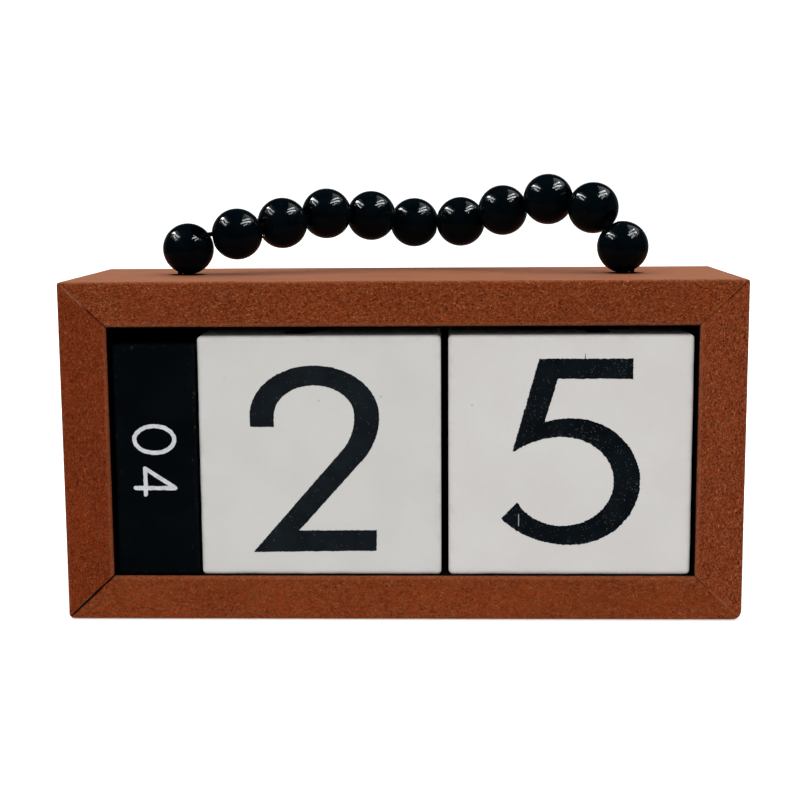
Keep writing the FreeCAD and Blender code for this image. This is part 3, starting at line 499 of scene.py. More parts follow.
def board_piece(name, where, seed, material, ends_ab):
    """One mitred board. u runs along it, v outwards from the opening, w is the depth behind
    the frame's front. ends_ab names the corners at its two ends."""
    groove = [JOINT[c][0] for c in ends_ab]
    joint = [JOINT[c][1] for c in ends_ab]
    rnd = random.Random(seed)
    if where in ("top", "bottom"):
        half, out, own, other = W / 2, H / 2, T, TS
    else:
        half, out, own, other = H / 2, W / 2, TS, T
    inner = out - own
    lean = other / own                      # the mitre's run along the board for one step outwards
    ra, rb = {"top": (ROUND["tl"], ROUND["tr"]), "bottom": (ROUND["br"], ROUND["bl"]),
              "right": (ROUND["tr"], ROUND["br"]), "left": (ROUND["bl"], ROUND["tl"])}[where]
    ri, ro = 0.65, 0.35
    hh = H / 2

    def world(u, v, w):
        if where == "top":
            x, z = u, v + hh
        elif where == "bottom":
            x, z = -u, -v + hh
        elif where == "right":
            x, z = v, -u + hh
        else:
            x, z = -v, u + hh
        return (x, FRONT + w, z)

    # cross-section loop: (v, w, kind), kind 0 inner face, 1 front, 2 outer face, 3 back
    loop = []
    for w in reversed(graded(ri, D, 0.35, 5.0)):
        loop.append((inner, w, 0))
    loop[0] = (inner, D, 0)
    for k in range(1, 6):
        a = math.pi / 2 * k / 6
        loop.append((inner + ri * (1 - math.cos(a)), ri * (1 - math.sin(a)), 1))
    n = 31
    for k in range(n + 1):
        loop.append((inner + ri + (own - ri - ro) * k / n, 0.0, 1))
    for k in range(1, 5):
        a = math.pi / 2 * k / 5
        loop.append((out - ro + ro * math.sin(a), ro * (1 - math.cos(a)), 1))
    for w in graded(ro, D, 0.30, 3.0):
        loop.append((out, w, 2))
    loop.append((out, D, 2))
    for k in (1, 2, 3):
        loop.append((out - own * k / 4, D, 3))

    # stations as distances from the two mitres, symmetric about the middle
    ends = [0.0, 0.06, 0.12, 0.20, 0.32, 0.5, 0.75, 1.05]
    mid = (half - 0.0)
    verts, zones, joints = [], [], []
    cols = []
    for (v, w, kind) in loop:
        reach = half - other + (v - inner) * lean          # half length at this v
        inner_len = 2 * reach - 2 * ends[-1]
        cols.append((v, w, kind, reach, inner_len))
    span = 2 * half - 2 * other
    n_mid = int(round(span / 0.42))
    stations = [("a", d) for d in ends] + [("m", k / n_mid) for k in range(1, n_mid)] + [("b", d) for d in reversed(ends)]
    for kind_s, s in stations:
        for (v, w, kind, reach, inner_len) in cols:
            if kind_s == "a":
                u = -reach + s
                da, db = s, 2 * reach - s
            elif kind_s == "b":
                u = reach - s
                da, db = 2 * reach - s, s
            else:
                u = -reach + ends[-1] + inner_len * s
                da, db = u + reach, reach - u
            vv, ww = v, w
            # rounded outer corner of the frame, half of it on each board
            for r, sgn in ((rb, 1), (ra, -1)):
                cu, cv = half - r, out - r
                if sgn * u > cu and vv > cv:
                    du, dv = sgn * u - cu, vv - cv
                    dist = math.hypot(du, dv)
                    # keep the same offset from the outer surface all round the corner
                    lim = r - min(out - v, half - sgn * u)
                    if dist > max(lim, 1e-6) and lim > 0:
                        f = lim / dist
                        u = sgn * (cu + du * f)
                        vv = cv + dv * f
            x, y, z = world(u, vv, ww)
            near = min(da, db)
            calm = min(1.0, near / 0.8)          # no relief right at the joint
            dv_, dw_ = 0.0, 0.0
            if kind == 1:
                depth = 0.030 * n3(x, y, z, 0.75, seed) + 0.020 * n3(x, y, z, 1.7, seed + 5)
                dw_ += (0.035 + depth) * calm * (1.0 if v > inner + ri * 0.5 else 0.5)
                edge_o = max(0.0, 1.0 - (out - v) / 0.7)
                fuzz = 0.075 * n3(x, y, z, 0.55, seed + 9) + 0.055 * n3(x, y, z, 1.6, seed + 13)
                dv_ -= edge_o * (0.045 + fuzz) * calm
                dw_ += edge_o * (0.05 + 0.9 * abs(fuzz)) * calm
                edge_i = max(0.0, 1.0 - (v - inner) / 0.9)
                dw_ += edge_i * 0.05 * (1 + n3(x, y, z, 3.0, seed + 3)) * calm
                dv_ += edge_i * 0.03 * (1 + n3(x, y, z, 2.1, seed + 4))
            elif kind == 2:
                near_front = max(0.0, 1.0 - (w - ro) / 1.2)
                dv_ -= 0.012 * (1 + n3(x, y, z, 9.0, seed + 21)) + near_front * 0.05 * (1 + n3(x, y, z, 0.9, seed + 9)) * 0.5
            # the joint stays a little open at the front
            for d, (gw, gd) in ((da, groove[0]), (db, groove[1])):
                if kind == 1 and d < gw * 1.6:
                    wob = 1.0 + 0.55 * n3(x, y, z, 1.4, seed + 31) + 0.35 * n3(x, y, z, 0.5, seed + 37)
                    dw_ += gd * max(0.0, 1.0 - d / (gw * max(wob, 0.35)))
                if kind == 2 and d < 0.2:
                    dv_ -= 0.04 * (1.0 - d / 0.2)
            x, y, z = world(u, vv + dv_, ww + dw_)
            verts.append((x * MM, y * MM, z * MM))
            # masks
            ins = 0.0
            if kind == 0:
                ins = 1.0
            elif kind == 1 and v < inner + ri:
                # the paint's edge wanders over the inner rounding
                lim = 0.40 + 0.10 * n3(x, y, z, 2.2, seed + 41)
                ins = max(0.0, min(1.0, (w - lim) / 0.10 + 0.5))
            frontm = 1.0 if kind == 1 else 0.0
            if kind == 2:
                frontm = max(0.0, 1.0 - (w - ro) / 0.35)
            if kind == 1 and v < inner + ri + 0.10:
                frontm = 0.80
            wear = 0.0
            if kind == 1:
                wear = max(wear, 0.22 * max(0.0, 1.0 - abs(v - (inner + ri * 0.9)) / 0.40))
                wear = max(wear, (0.9 if where == "top" else 0.35) * max(0.0, 1.0 - (out - v) / 0.55))
            if kind == 2:
                wear = max(wear, (0.7 if where == "top" else 0.3) * max(0.0, 1.0 - (w - ro) / 0.7))
            zones.append((ins, frontm, wear))
            dark, light = 0.0, 0.0
            along = (out - v) / own              # 0 at the outer corner, 1 at the inner one
            for d, corner in ((da, joint[0]), (db, joint[1])):
                if kind not in (1, 2) or d > 0.6:
                    continue
                if kind == 2:
                    dark = max(dark, 0.5 * max(0.0, 1.0 - d / 0.12))
                    continue
                for mark, (t0, t1, wide, strength) in corner:
                    edge = min((along - t0) / 0.10, (t1 - along) / 0.10, 1.0)
                    if edge <= 0:
                        continue
                    wob = 1.0 + 0.45 * n3(x, y, z, 1.3, seed + 61) + 0.35 * n3(x, y, z, 0.5, seed + 63)
                    m_here = strength * edge * max(0.0, min(1.0, 1.6 * (1.0 - d / (wide * max(wob, 0.3)))))
                    if mark == "dark":
                        dark = max(dark, m_here)
                    else:
                        light = max(light, m_here)
            joints.append((dark, light, 0.0))
    m_ = len(loop)
    faces = []
    for s in range(len(stations) - 1):
        for k in range(m_):
            a = s * m_ + k
            b = s * m_ + (k + 1) % m_
            faces.append((a, b, b + m_, a + m_))
    faces.append(tuple(range(m_)))
    faces.append(tuple(reversed(range((len(stations) - 1) * m_, len(stations) * m_))))
    o = make_object(name, verts, faces, material, True, np.array(zones, dtype=np.float32),
                    flat_angle=math.radians(40), joints=np.array(joints, dtype=np.float32))
    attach(o, "frame")
    return o


# ------------------------------------------------------------------ blocks
def block_noise(x, y, z, seed):
    """Slow waviness of the painted faces, millimetres."""
    return 0.010 * n3(x, y, z, 11.0, seed) + 0.004 * n3(x, y, z, 3.5, seed + 2)


def block_lines(lo, hi, r, step):
    edge = [0.0, 0.22 * r, 0.5 * r, 0.8 * r, r, 1.35 * r, 1.9 * r]
    a = [lo + e for e in edge]
    b = [hi - e for e in reversed(edge)]
    n = max(2, int(round((b[0] - a[-1]) / step)))
    return a + [a[-1] + (b[0] - a[-1]) * k / n for k in range(1, n)] + b


def block(name, body, lo, hi, r, step, material, seed, dents=()):
    """A painted wooden block with softened, slightly uneven edges."""
    lines = [block_lines(lo[k], hi[k], r, step) for k in range(3)]
    verts, index, faces = [], {}, []

    def vid(i, j, k):
        key = (i, j, k)
        if key not in index:
            index[key] = len(verts)
            verts.append((lines[0][i], lines[1][j], lines[2][k]))
        return index[key]

    n = [len(l) - 1 for l in lines]
    for axis in range(3):
        b, c = (axis + 1) % 3, (axis + 2) % 3
        for side in (0, n[axis]):
            for p in range(n[b]):
                for q in range(n[c]):
                    quad = []
                    for (dp, dq) in ((0, 0), (1, 0), (1, 1), (0, 1)):
                        ijk = [0, 0, 0]
                        ijk[axis], ijk[b], ijk[c] = side, p + dp, q + dq
                        quad.append(vid(*ijk))
                    faces.append(quad if side else quad[::-1])
    out, zones = [], []
    for (x, y, z) in verts:
        rr = r * (1.0 + 0.22 * n3(x, y, z, 6.0, seed + 3) + 0.10 * n3(x, y, z, 1.7, seed + 4))
        rr = min(rr, 1.34 * r)
        q = [min(max(c, lo[k] + rr), hi[k] - rr) for k, c in enumerate((x, y, z))]
        d = [x - q[0], y - q[1], z - q[2]]
        ln = math.sqrt(sum(c * c for c in d)) or 1.0
        nrm = [c / ln for c in d]
        amp = block_noise(x, y, z, seed) - 0.012
        for (dx, dy, dz, rad, deep) in dents:
            t = math.dist((x, y, z), (dx, dy, dz)) / rad
            if t < 1:
                amp -= deep * (1 - t * t) ** 2
        p = [q[k] + nrm[k] * (rr + amp) for k in range(3)]
        out.append(tuple(c * MM for c in p))
        near = sorted(min(abs(c - lo[k]), abs(hi[k] - c)) for k, c in enumerate((x, y, z)))
        e = near[1]                                  # distance to the nearest edge along the face
        zones.append((0.0, 0.0, max(0.0, 1.0 - e / 1.6)))
    o = make_object(name, out, faces, material, True, np.array(zones, dtype=np.float32))
    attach(o, body)
    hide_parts(name.replace("_wood", ""))
    return o


# ------------------------------------------------------------------ digits
def ellipse(cx, cy, rx, ry, a0, a1, n=40):
    return [(cx + rx * math.cos(math.radians(a0 + (a1 - a0) * k / n)),
             cy + ry * math.sin(math.radians(a0 + (a1 - a0) * k / n))) for k in range(n + 1)]


def stroke(points, width):
    """Outline of a stroke along the points, square ends."""
    pts = [Vector(p) for p in points]
    left, right = [], []
    for k, p in enumerate(pts):
        a = pts[max(k - 1, 0)]
        b = pts[min(k + 1, len(pts) - 1)]
        d = (b - a).normalized()
        nrm = Vector((-d.y, d.x)) * (width / 2)
        left.append(tuple(p + nrm))
        right.append(tuple(p - nrm))
    return left + right[::-1]


def bold_digit(ch):
    """Outlines of a geometric figure about 39 mm tall, millimetres from the face's middle:
    (list of solid outlines, list of holes)."""
    if ch == "2":
        o = [(-14.35, 6.2), (-14.35, 8.5)]
        o += ellipse(-1.05, 8.5, 13.35, 10.4, 180, 0, 60)
        o += ellipse(-1.05, 8.5, 13.35, 13.8, 0, -47, 24)[1:]
        o += [(-4.5, -15.55), (11.6, -15.5), (11.6, -19.85), (-14.1, -20.15)]
        o += ellipse(-1.1, 8.5, 8.3, 9.9, -44, 0, 20)
        o += ellipse(-1.1, 8.5, 8.3, 6.3, 0, 180, 44)[1:]
        o += [(-9.4, 6.2)]
        return [o], []
    if ch == "5":
        o = [(-6.45, 20.15), (12.65, 20.15), (12.65, 16.0), (-2.6, 16.05), (-5.35, 7.0)]
        o += ellipse(0.2, -5.35, 17.5, 13.25, 101, 90, 5)
        o += ellipse(0.2, -5.35, 14.2, 13.25, 90, -90, 60)[1:]
        o += ellipse(0.2, -5.35, 17.5, 13.25, -90, -144.5, 22)[1:]
        o += [(-10.8, -9.6)]
        o += ellipse(-1.5, -5.3, 10.5, 9.3, -146, -90, 22)
        o += ellipse(-1.5, -5.3, 10.5, 9.3, -90, 90, 50)[1:]
        o += ellipse(-1.5, -5.3, 13.5, 9.3, 90, 136, 16)[1:]
        o += [(-11.8, 1.1)]
        return [o], []
    if ch == "0":
        return [ellipse(0, -0.6, 13.6, 19.6, 0, 360, 96)[:-1]], [ellipse(0, -0.6, 8.8, 15.3, 0, 360, 96)[:-1]]
    if ch == "1":
        return [[(5.3, 19.0), (1.0, 19.0), (-7.4, 13.4), (-5.2, 9.9), (0.5, 13.6), (0.5, -20.0), (5.3, -20.0)]], []
    if ch == "3":
        up = stroke(ellipse(-0.6, 9.9, 8.3, 7.0, 158, -90, 50) + [(-4.2, 2.7)], 4.4)
        lo = stroke([(-4.2, 1.2)] + ellipse(-0.4, -8.3, 10.4, 9.6, 90, -156, 60), 4.6)
        return [up, lo], []
    if ch == "4":
        return [[(8.3, 19.0), (3.9, 19.0), (-14.4, -9.0), (-14.4, -11.9), (3.6, -11.9), (3.6, -20.0), (8.3, -20.0),
                 (8.3, -11.9), (13.4, -11.9), (13.4, -7.6), (8.3, -7.6)]], [[(3.6, 10.8), (3.6, -7.6), (-8.4, -7.6)]]
    if ch == "6":
        ring = ellipse(0, -7.6, 12.6, 12.4, 0, 360, 80)[:-1]
        hole = ellipse(0, -7.6, 7.9, 8.0, 0, 360, 70)[:-1]
        arm = [(3.0, 19.0), (8.8, 19.0), (-4.6, 0.4), (-9.4, -0.6), (-10.6, -1.0)]
        return [ring, arm], [hole]
    if ch == "7":
        return [[(-12.0, 19.0), (12.6, 19.0), (12.6, 17.4), (-3.4, -20.0), (-8.7, -20.0), (6.0, 14.7), (-12.0, 14.7)]], []
    if ch == "8":
        return ([ellipse(0, 9.4, 9.9, 9.6, 0, 360, 70)[:-1], ellipse(0, -8.4, 12.3, 11.7, 0, 360, 80)[:-1]],
                [ellipse(0, 9.3, 5.5, 5.4, 0, 360, 60)[:-1], ellipse(0, -8.5, 7.6, 7.3, 0, 360, 60)[:-1]])
    raise ValueError(ch)


def poly_sdf(px, py, poly):
    """Signed distance to a closed polygon, negative inside."""
    p = np.array(poly)
    q = np.roll(p, -1, axis=0)
    best = np.full(px.shape, 1e9)
    inside = np.zeros(px.shape, dtype=bool)
    for (ax, ay), (bx, by) in zip(p, q):
        ex, ey = bx - ax, by - ay
        l2 = ex * ex + ey * ey
        if l2 < 1e-12:
            continue
        t = np.clip(((px - ax) * ex + (py - ay) * ey) / l2, 0, 1)
        dx, dy = px - (ax + t * ex), py - (ay + t * ey)
        best = np.minimum(best, dx * dx + dy * dy)
        if ay != by:
            cond = ((py >= ay) & (py < by)) | ((py >= by) & (py < ay))
            inside ^= cond & (px < ax + (py - ay) / (by - ay) * ex)
    d = np.sqrt(best)
    return np.where(inside, -d, d)


def line_sdf(px, py, pts, half):
    best = np.full(px.shape, 1e9)
    for (ax, ay), (bx, by) in zip(pts[:-1], pts[1:]):
        ex, ey = bx - ax, by - ay
        l2 = ex * ex + ey * ey
        t = np.clip(((px - ax) * ex + (py - ay) * ey) / max(l2, 1e-12), 0, 1)
        dx, dy = px - (ax + t * ex), py - (ay + t * ey)
        best = np.minimum(best, dx * dx + dy * dy)
    return np.sqrt(best) - half


def lattice(px, py, scale, seed):
    """Seeded value noise in -1..1."""
    rs = np.random.RandomState(seed)
    tab = rs.rand(64, 64) * 2 - 1
    x, y = px / scale + 31.7, py / scale + 17.9
    ix, iy = np.floor(x).astype(int), np.floor(y).astype(int)
    fx, fy = x - ix, y - iy
    fx, fy = fx * fx * (3 - 2 * fx), fy * fy * (3 - 2 * fy)
    a, b = tab[ix % 64, iy % 64], tab[(ix + 1) % 64, iy % 64]
    c, d = tab[ix % 64, (iy + 1) % 64], tab[(ix + 1) % 64, (iy + 1) % 64]
    return (a * (1 - fx) + b * fx) * (1 - fy) + (c * (1 - fx) + d * fx) * fy


def ink_piece(name, body, field, box, cell, place, material, lift=0.030, sink=0.030):
    """A thin printed figure: the area where field(x, y) < 0 in the box, as a closed skin.
    place(x, y, h) gives the point h millimetres above the printed face, in metres."""
    x0, y0, x1, y1 = box
    nx, ny = int((x1 - x0) / cell) + 1, int((y1 - y0) / cell) + 1
    gx, gy = np.meshgrid(x0 + cell * np.arange(nx + 1), y0 + cell * np.arange(ny + 1), indexing="ij")
    s = field(gx, gy)
    s = np.where(np.abs(s) < 1e-4, 1e-4, s)
    s[0, :] = s[-1, :] = 1.0
    s[:, 0] = s[:, -1] = 1.0
    pts, idx, faces = [], {}, []

    def corner(i, j):
        key = (0, i, j)
        if key not in idx:
            idx[key] = len(pts)
            pts.append((gx[i, j], gy[i, j]))
        return idx[key]

    def cross(i, j, k, l):
        key = (1, min(i, k), min(j, l), 0 if j == l else 1)
        if key not in idx:
            t = s[i, j] / (s[i, j] - s[k, l])
            t = min(max(t, 0.04), 0.96)
            idx[key] = len(pts)
            pts.append((gx[i, j] + (gx[k, l] - gx[i, j]) * t, gy[i, j] + (gy[k, l] - gy[i, j]) * t))
        return idx[key]

    neg = s < 0
    full = neg[:-1, :-1] & neg[1:, :-1] & neg[1:, 1:] & neg[:-1, 1:]
    some = (neg[:-1, :-1] | neg[1:, :-1] | neg[1:, 1:] | neg[:-1, 1:]) & ~full
    for i, j in np.argwhere(full):
        faces.append([corner(i, j), corner(i + 1, j), corner(i + 1, j + 1), corner(i, j + 1)])
    for i, j in np.argwhere(some):
        ring = [(i, j), (i + 1, j), (i + 1, j + 1), (i, j + 1)]
        ins = [neg[a] for a in ring]
        if ins in ([True, False, True, False], [False, True, False, True]):
            for c in range(4):
                if ins[c]:
                    a, b, p = ring[c], ring[(c + 1) % 4], ring[(c - 1) % 4]
                    faces.append([cross(*p, *a) if p < a else cross(*a, *p), corner(*a),
                                  cross(*a, *b)])
            continue
        poly = []
        for c in range(4):
            a, b = ring[c], ring[(c + 1) % 4]
            if ins[c]:
                poly.append(corner(*a))
            if ins[c] != ins[(c + 1) % 4]:
                poly.append(cross(*a, *b) if a < b else cross(*b, *a))
        if len(poly) >= 3:
            faces.append(poly)
    edge_count = {}
    for f in faces:
        for a, b in zip(f, f[1:] + f[:1]):
            edge_count[(a, b)] = edge_count.get((a, b), 0) + 1
    n = len(pts)
    verts = [place(x, y, lift) for x, y in pts] + [place(x, y, -sink) for x, y in pts]
    allf = list(faces) + [[v + n for v in reversed(f)] for f in faces]
    for (a, b) in edge_count:
        if (b, a) not in edge_count:
            allf.append([b, a, a + n, b + n])
    o = make_object(name, verts, allf, material, False)
    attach(o, body)
    return o


def face_frame(lo, hi, face):
    """Origin, right and up of a block's face as its reader sees it, and its outward normal."""
    c = [(lo[k] + hi[k]) / 2 for k in range(3)]
    X, Y, Z = Vector((1, 0, 0)), Vector((0, 1, 0)), Vector((0, 0, 1))
    return {
        "front": (Vector((c[0], lo[1], c[2])), X, Z, -Y),
        "back": (Vector((c[0], hi[1], c[2])), -X, Z, Y),
        "left": (Vector((lo[0], c[1], c[2])), -Y, Z, -X),
        "right": (Vector((hi[0], c[1], c[2])), Y, Z, X),
        "top": (Vector((c[0], c[1], hi[2])), X, Y, Z),
        "under": (Vector((c[0], c[1], lo[2])), X, -Y, -Z),
    }[face]


def print_digit(cube, body, lo, hi, face, ch, seed, material, cell, ragged, shift=(0, 0)):
    org, ux, uy, nn = face_frame(lo, hi, face)
    solids, holes = bold_digit(ch)

    def field(x, y):
        x_, y_ = x - shift[0], y - shift[1]
        d = None
        for p in solids:
            q = poly_sdf(x_, y_, p)
            d = q if d is None else np.minimum(d, q)
        for p in holes:
            d = np.maximum(d, -poly_sdf(x_, y_, p))
        if ch == "5" and face == "front":
            # a hair of ink pulled up from the top bar
            d = np.minimum(d, line_sdf(x_, y_, [(2.9, 19.9), (2.85, 21.1)], 0.07))
        rough = ragged * (0.60 * lattice(x, y, 0.26, seed) + 0.25 * lattice(x, y, 0.8, seed + 1)
                          + 0.5 * lattice(x, y, 0.17, seed + 2) * (lattice(x, y, 5.0, seed + 3) > 0))
        return d + rough

    def place(x, y, h):
        p = org + ux * x + uy * y
        p = p + nn * (block_noise(p.x, p.y, p.z, BLOCK_SEED[cube]) - 0.012 + h)
        return tuple(p * MM)

    return ink_piece("%s_digit_%s_%s" % (cube, ch, face), body, field, (-16.5, -22.5, 16.5, 22.5),
                     cell, place, material)


# thin round-ended figures for the months, 9.2 mm tall, on a baseline at y = 0
def thin_digit(ch):
    """Centre lines of the figure and its width."""
    hgt = 9.2
    if ch == "0":
        return [ellipse(3.3, hgt / 2, 3.1, hgt / 2, 0, 360, 48)], 6.6
    if ch == "1":
        return [[(0.4, 7.0), (2.5, hgt), (2.5, 0.0)]], 3.2
    if ch == "2":
        return [ellipse(2.9, 6.5, 2.75, 2.7, 172, -28, 30) + [(0.1, 0.0), (5.8, 0.0)]], 6.0
    if ch == "3":
        return [ellipse(2.7, 6.95, 2.3, 2.25, 155, -90, 30) + ellipse(2.7, 2.35, 2.75, 2.35, 90, -150, 36)], 5.7
    if ch == "4":
        return [[(4.7, 0.0), (4.7, hgt), (0.1, 2.3), (6.2, 2.3)]], 6.5
    if ch == "5":
        return [[(5.2, hgt), (1.6, hgt), (0.8, 5.1)] + ellipse(2.8, 2.85, 2.8, 2.85, 130, -145, 40)], 5.8
    if ch == "6":
        return [[(4.3, hgt), (0.75, 4.3)], ellipse(3.0, 2.8, 2.8, 2.8, 0, 360, 44)], 6.0
    if ch == "7":
        return [[(0.1, hgt), (5.7, hgt), (1.8, 0.0)]], 5.8
    if ch == "8":
        return [ellipse(2.9, 6.95, 2.2, 2.25, 0, 360, 40), ellipse(2.9, 2.35, 2.75, 2.35, 0, 360, 44)], 5.8
    if ch == "9":
        return [[(1.7, 0.0), (5.25, 4.9)], ellipse(3.0, 6.4, 2.8, 2.8, 0, 360, 44)], 6.0
    raise ValueError(ch)


def print_month(bar, body, lo, hi, face, text, seed, material, cell):
    """Two thin figures reading down the bar's face, their tops to the face's right."""
    org, ux, uy, nn = face_frame(lo, hi, face)
    lines, at = [], 0.0
    for ch in text:
        strokes, width = thin_digit(ch)
        lines += [[(x * 0.9 + at, y * 0.9) for x, y in st] for st in strokes]
        at += width * 0.9 + 3.0
    length = at - 3.0
    # reading direction is down the face, the figures' up is the face's right
    base = -4.35
    wob = random.Random(seed)
    moved = [[(base + y, length / 2 - x) for x, y in st] for st in lines]

    def field(x, y):
        d = None
        for st in moved:
            q = line_sdf(x, y, st, 0.43)
            d = q if d is None else np.minimum(d, q)
        return d + 0.050 * lattice(x, y, 0.7, seed) + 0.040 * lattice(x, y, 0.3, seed + 1)

    def place(x, y, h):
        p = org + ux * x + uy * y
        p = p + nn * (block_noise(p.x, p.y, p.z, BLOCK_SEED[bar]) - 0.012 + h)
        return tuple(p * MM)

    return ink_piece("%s_month_%s" % (bar, text), body, field,
                     (-7.6, -length / 2 - 1.6, 7.6, length / 2 + 1.6), cell, place, material, 0.025, 0.03)


BLOCK_SEED = {"number_cube_left": 1.7, "number_cube_right": 4.2,
              "month_bar_front": 6.1, "month_bar_middle": 7.9, "month_bar_rear": 9.3}


# ------------------------------------------------------------------ beads
def bead_piece(k, material):
    """A turned bead on its own axes: ball, chamfered mouths and bore in one closed skin."""
    rnd = random.Random(100 + k)
    R, rb, ch = 5.55, 1.80, 0.25
    seg = 84
    x1 = rb + ch
    z1 = math.sqrt(R * R - x1 * x1)
    prof = []
    n = 54
    a0 = math.asin(x1 / R)
    for i in range(n + 1):
        a = a0 + (math.pi - 2 * a0) * i / n
        prof.append((R * math.sin(a), R * math.cos(a), 1.0))
    prof.append((rb + 0.06, -(z1 - ch * 0.85), 0.0))
    prof.append((rb, -(z1 - ch * 1.3), 0.0))
    for i in range(1, 5):
        prof.append((rb, -(z1 - ch * 1.3) * (1 - 2 * i / 5), 0.0))
    prof.append((rb, z1 - ch * 1.3, 0.0))
    prof.append((rb + 0.06, z1 - ch * 0.85, 0.0))
    s_ax = 0.992 + 0.008 * rnd.random()
    verts, faces = [], []
    for (r, z, o) in prof:
        for s in range(seg):
            a = 2 * math.pi * s / seg
            x, y = math.cos(a), math.sin(a)
            rr = r
            if o:
                ridge = 0.006 * math.sin(z * 7.0 + k) + 0.010 * n3(0.0, 0.0, z, 0.9, 3.0 + k)
                lump = 0.018 * n3(x * r, y * r, z, 4.5, 11.0 + k)
                rr = r * (1 - 0.002) + ridge * 0.6 + lump
            verts.append((rr * x * MM, rr * y * MM, z * s_ax * MM))
    m_ = len(prof)
    for i in range(m_):
        for s in range(seg):
            a, b = i * seg + s, i * seg + (s + 1) % seg
            c, d = ((i + 1) % m_) * seg + (s + 1) % seg, ((i + 1) % m_) * seg + s
            faces.append((a, b, c, d))
    along = (Vector(WIRE[k + 1]) - Vector(WIRE[k])).normalized()
    rot = along.to_track_quat("Z", "Y").to_matrix().to_4x4()
    spin = Matrix.Rotation(rnd.random() * 6.28, 4, "Z")
    mat = Matrix.Translation(Vector(BEADS[k]) * MM) @ rot @ spin
    o = make_object("bead_%02d_turned" % (k + 1), verts, faces, material, True, matrix=mat, flat_angle=math.radians(38))
    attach(o, "bead_%02d" % (k + 1))
    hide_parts("bead_%02d" % (k + 1))
    return o


# ------------------------------------------------------------------ filler over the mitre brads
def filler_spots(material):
    k = 0
    mid = FRONT + D / 2
    for side in (-1, 1):
        for z in (T / 2, H - T / 2):
            for s in (-1, 1):
                k += 1
                rnd = random.Random(40 + k)
                cx, cy, cz = side * W / 2, mid + s * 17.0, z
                verts, faces = [], []
                rings, seg = 5, 28
                edge = [1.0 + 0.16 * math.sin(2 * a + rnd.random()) + 0.10 * rnd.uniform(-1, 1) for a in range(seg)]
                edge = [(edge[i - 1] + edge[i] * 2 + edge[(i + 1) % seg]) / 4 for i in range(seg)]
                for i in range(rings):
                    t = 1 - i / rings
                    for q in range(seg):
                        a = 2 * math.pi * q / seg
                        rr = 1.02 * edge[q] * t
                        hgt = 0.035 * (1 - t ** 3) - 0.03 * (1 - t) ** 2 + 0.006 * rnd.uniform(-1, 1) * (1 - t)
                        verts.append(((cx + side * (hgt - 0.012)) * MM, (cy + rr * math.cos(a)) * MM, (cz + rr * math.sin(a)) * MM))
                top = len(verts)
                verts.append(((cx + side * 0.0) * MM, cy * MM, cz * MM))
                base = len(verts)
                for q in range(seg):
                    a = 2 * math.pi * q / seg
                    verts.append(((cx - side * 0.5) * MM, (cy + 0.85 * math.cos(a)) * MM, (cz + 0.85 * math.sin(a)) * MM))
                bot = len(verts)
                verts.append(((cx - side * 0.5) * MM, cy * MM, cz * MM))
                for i in range(rings - 1):
                    for q in range(seg):
                        a, b = i * seg + q, i * seg + (q + 1) % seg
                        faces.append((a, b, b + seg, a + seg))
                for q in range(seg):
                    a, b = (rings - 1) * seg + q, (rings - 1) * seg + (q + 1) % seg
                    faces.append((a, b, top))
                    faces.append((q, base + q, base + (q + 1) % seg, (q + 1) % seg))
                    faces.append((base + q, bot, base + (q + 1) % seg))
                o = make_object("brad_filler_%d" % k, verts, faces, material, True, flat_angle=math.radians(50))
                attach(o, "frame")


# ------------------------------------------------------------------ build the object
# each corner's open joint: (half width, depth) of the gap in millimetres, then marks along it
# from the outer corner (0) to the inner one (1): (kind, (from, to, half width, strength))
JOINT = {
    "tl": ((0.10, 0.14), (("light", (0.02, 0.60, 0.26, 1.00)), ("dark", (0.48, 1.05, 0.22, 0.95)),
                          ("dark", (0.05, 0.52, 0.06, 0.35)))),
    "tr": ((0.10, 0.20), (("dark", (0.00, 0.50, 0.14, 0.85)), ("dark", (0.45, 0.95, 0.10, 0.45)),
                          ("light", (0.40, 0.85, 0.13, 0.25)))),
    "bl": ((0.26, 0.50), (("dark", (0.02, 1.05, 0.36, 1.00)), ("dark", (0.12, 0.80, 0.62, 0.90)), ("light", (0.15, 0.60, 0.80, 0.30)))),
    "br": ((0.07, 0.08), (("light", (0.04, 0.72, 0.20, 1.00)), ("dark", (0.70, 1.05, 0.12, 0.75)))),
}
# spots where the top board gets its painted contact shadow under the two end beads
BEAD_CONTACT_SHADE = [(-47.6, -0.9, 70.5), (47.6, -2.0, 70.5)]
top = board_piece("top_board", "top", 1.3, frame_material("frame_top", 1, "x", (1.0, 1.0, 1.0), 1.0, BEAD_CONTACT_SHADE), ("tl", "tr"))
bottom = board_piece("bottom_board", "bottom", 2.6, frame_material("frame_bottom", 2, "x", (1.08, 1.20, 1.35), 0.62), ("br", "bl"))
left = board_piece("left_board", "left", 3.9, frame_material("frame_left", 3, "z", (0.90, 0.80, 0.75), 0.75), ("bl", "tl"))
right = board_piece("right_board", "right", 5.2, frame_material("frame_right", 4, "z", (1.08, 1.10, 1.25), 0.95), ("tr", "br"))
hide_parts("top_rail")
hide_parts("bottom_rail")
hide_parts("left_stile")
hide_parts("right_stile")
filler_spots(filler_mat())

for node, material in (("back_panel", board_black()), ("mitre_brads", steel()), ("back_panel_brads", steel()),
                       ("handle_wire", wire_coat())):
    o = frame["nodes"][node]
    o.data.materials.clear()
    o.data.materials.append(material)

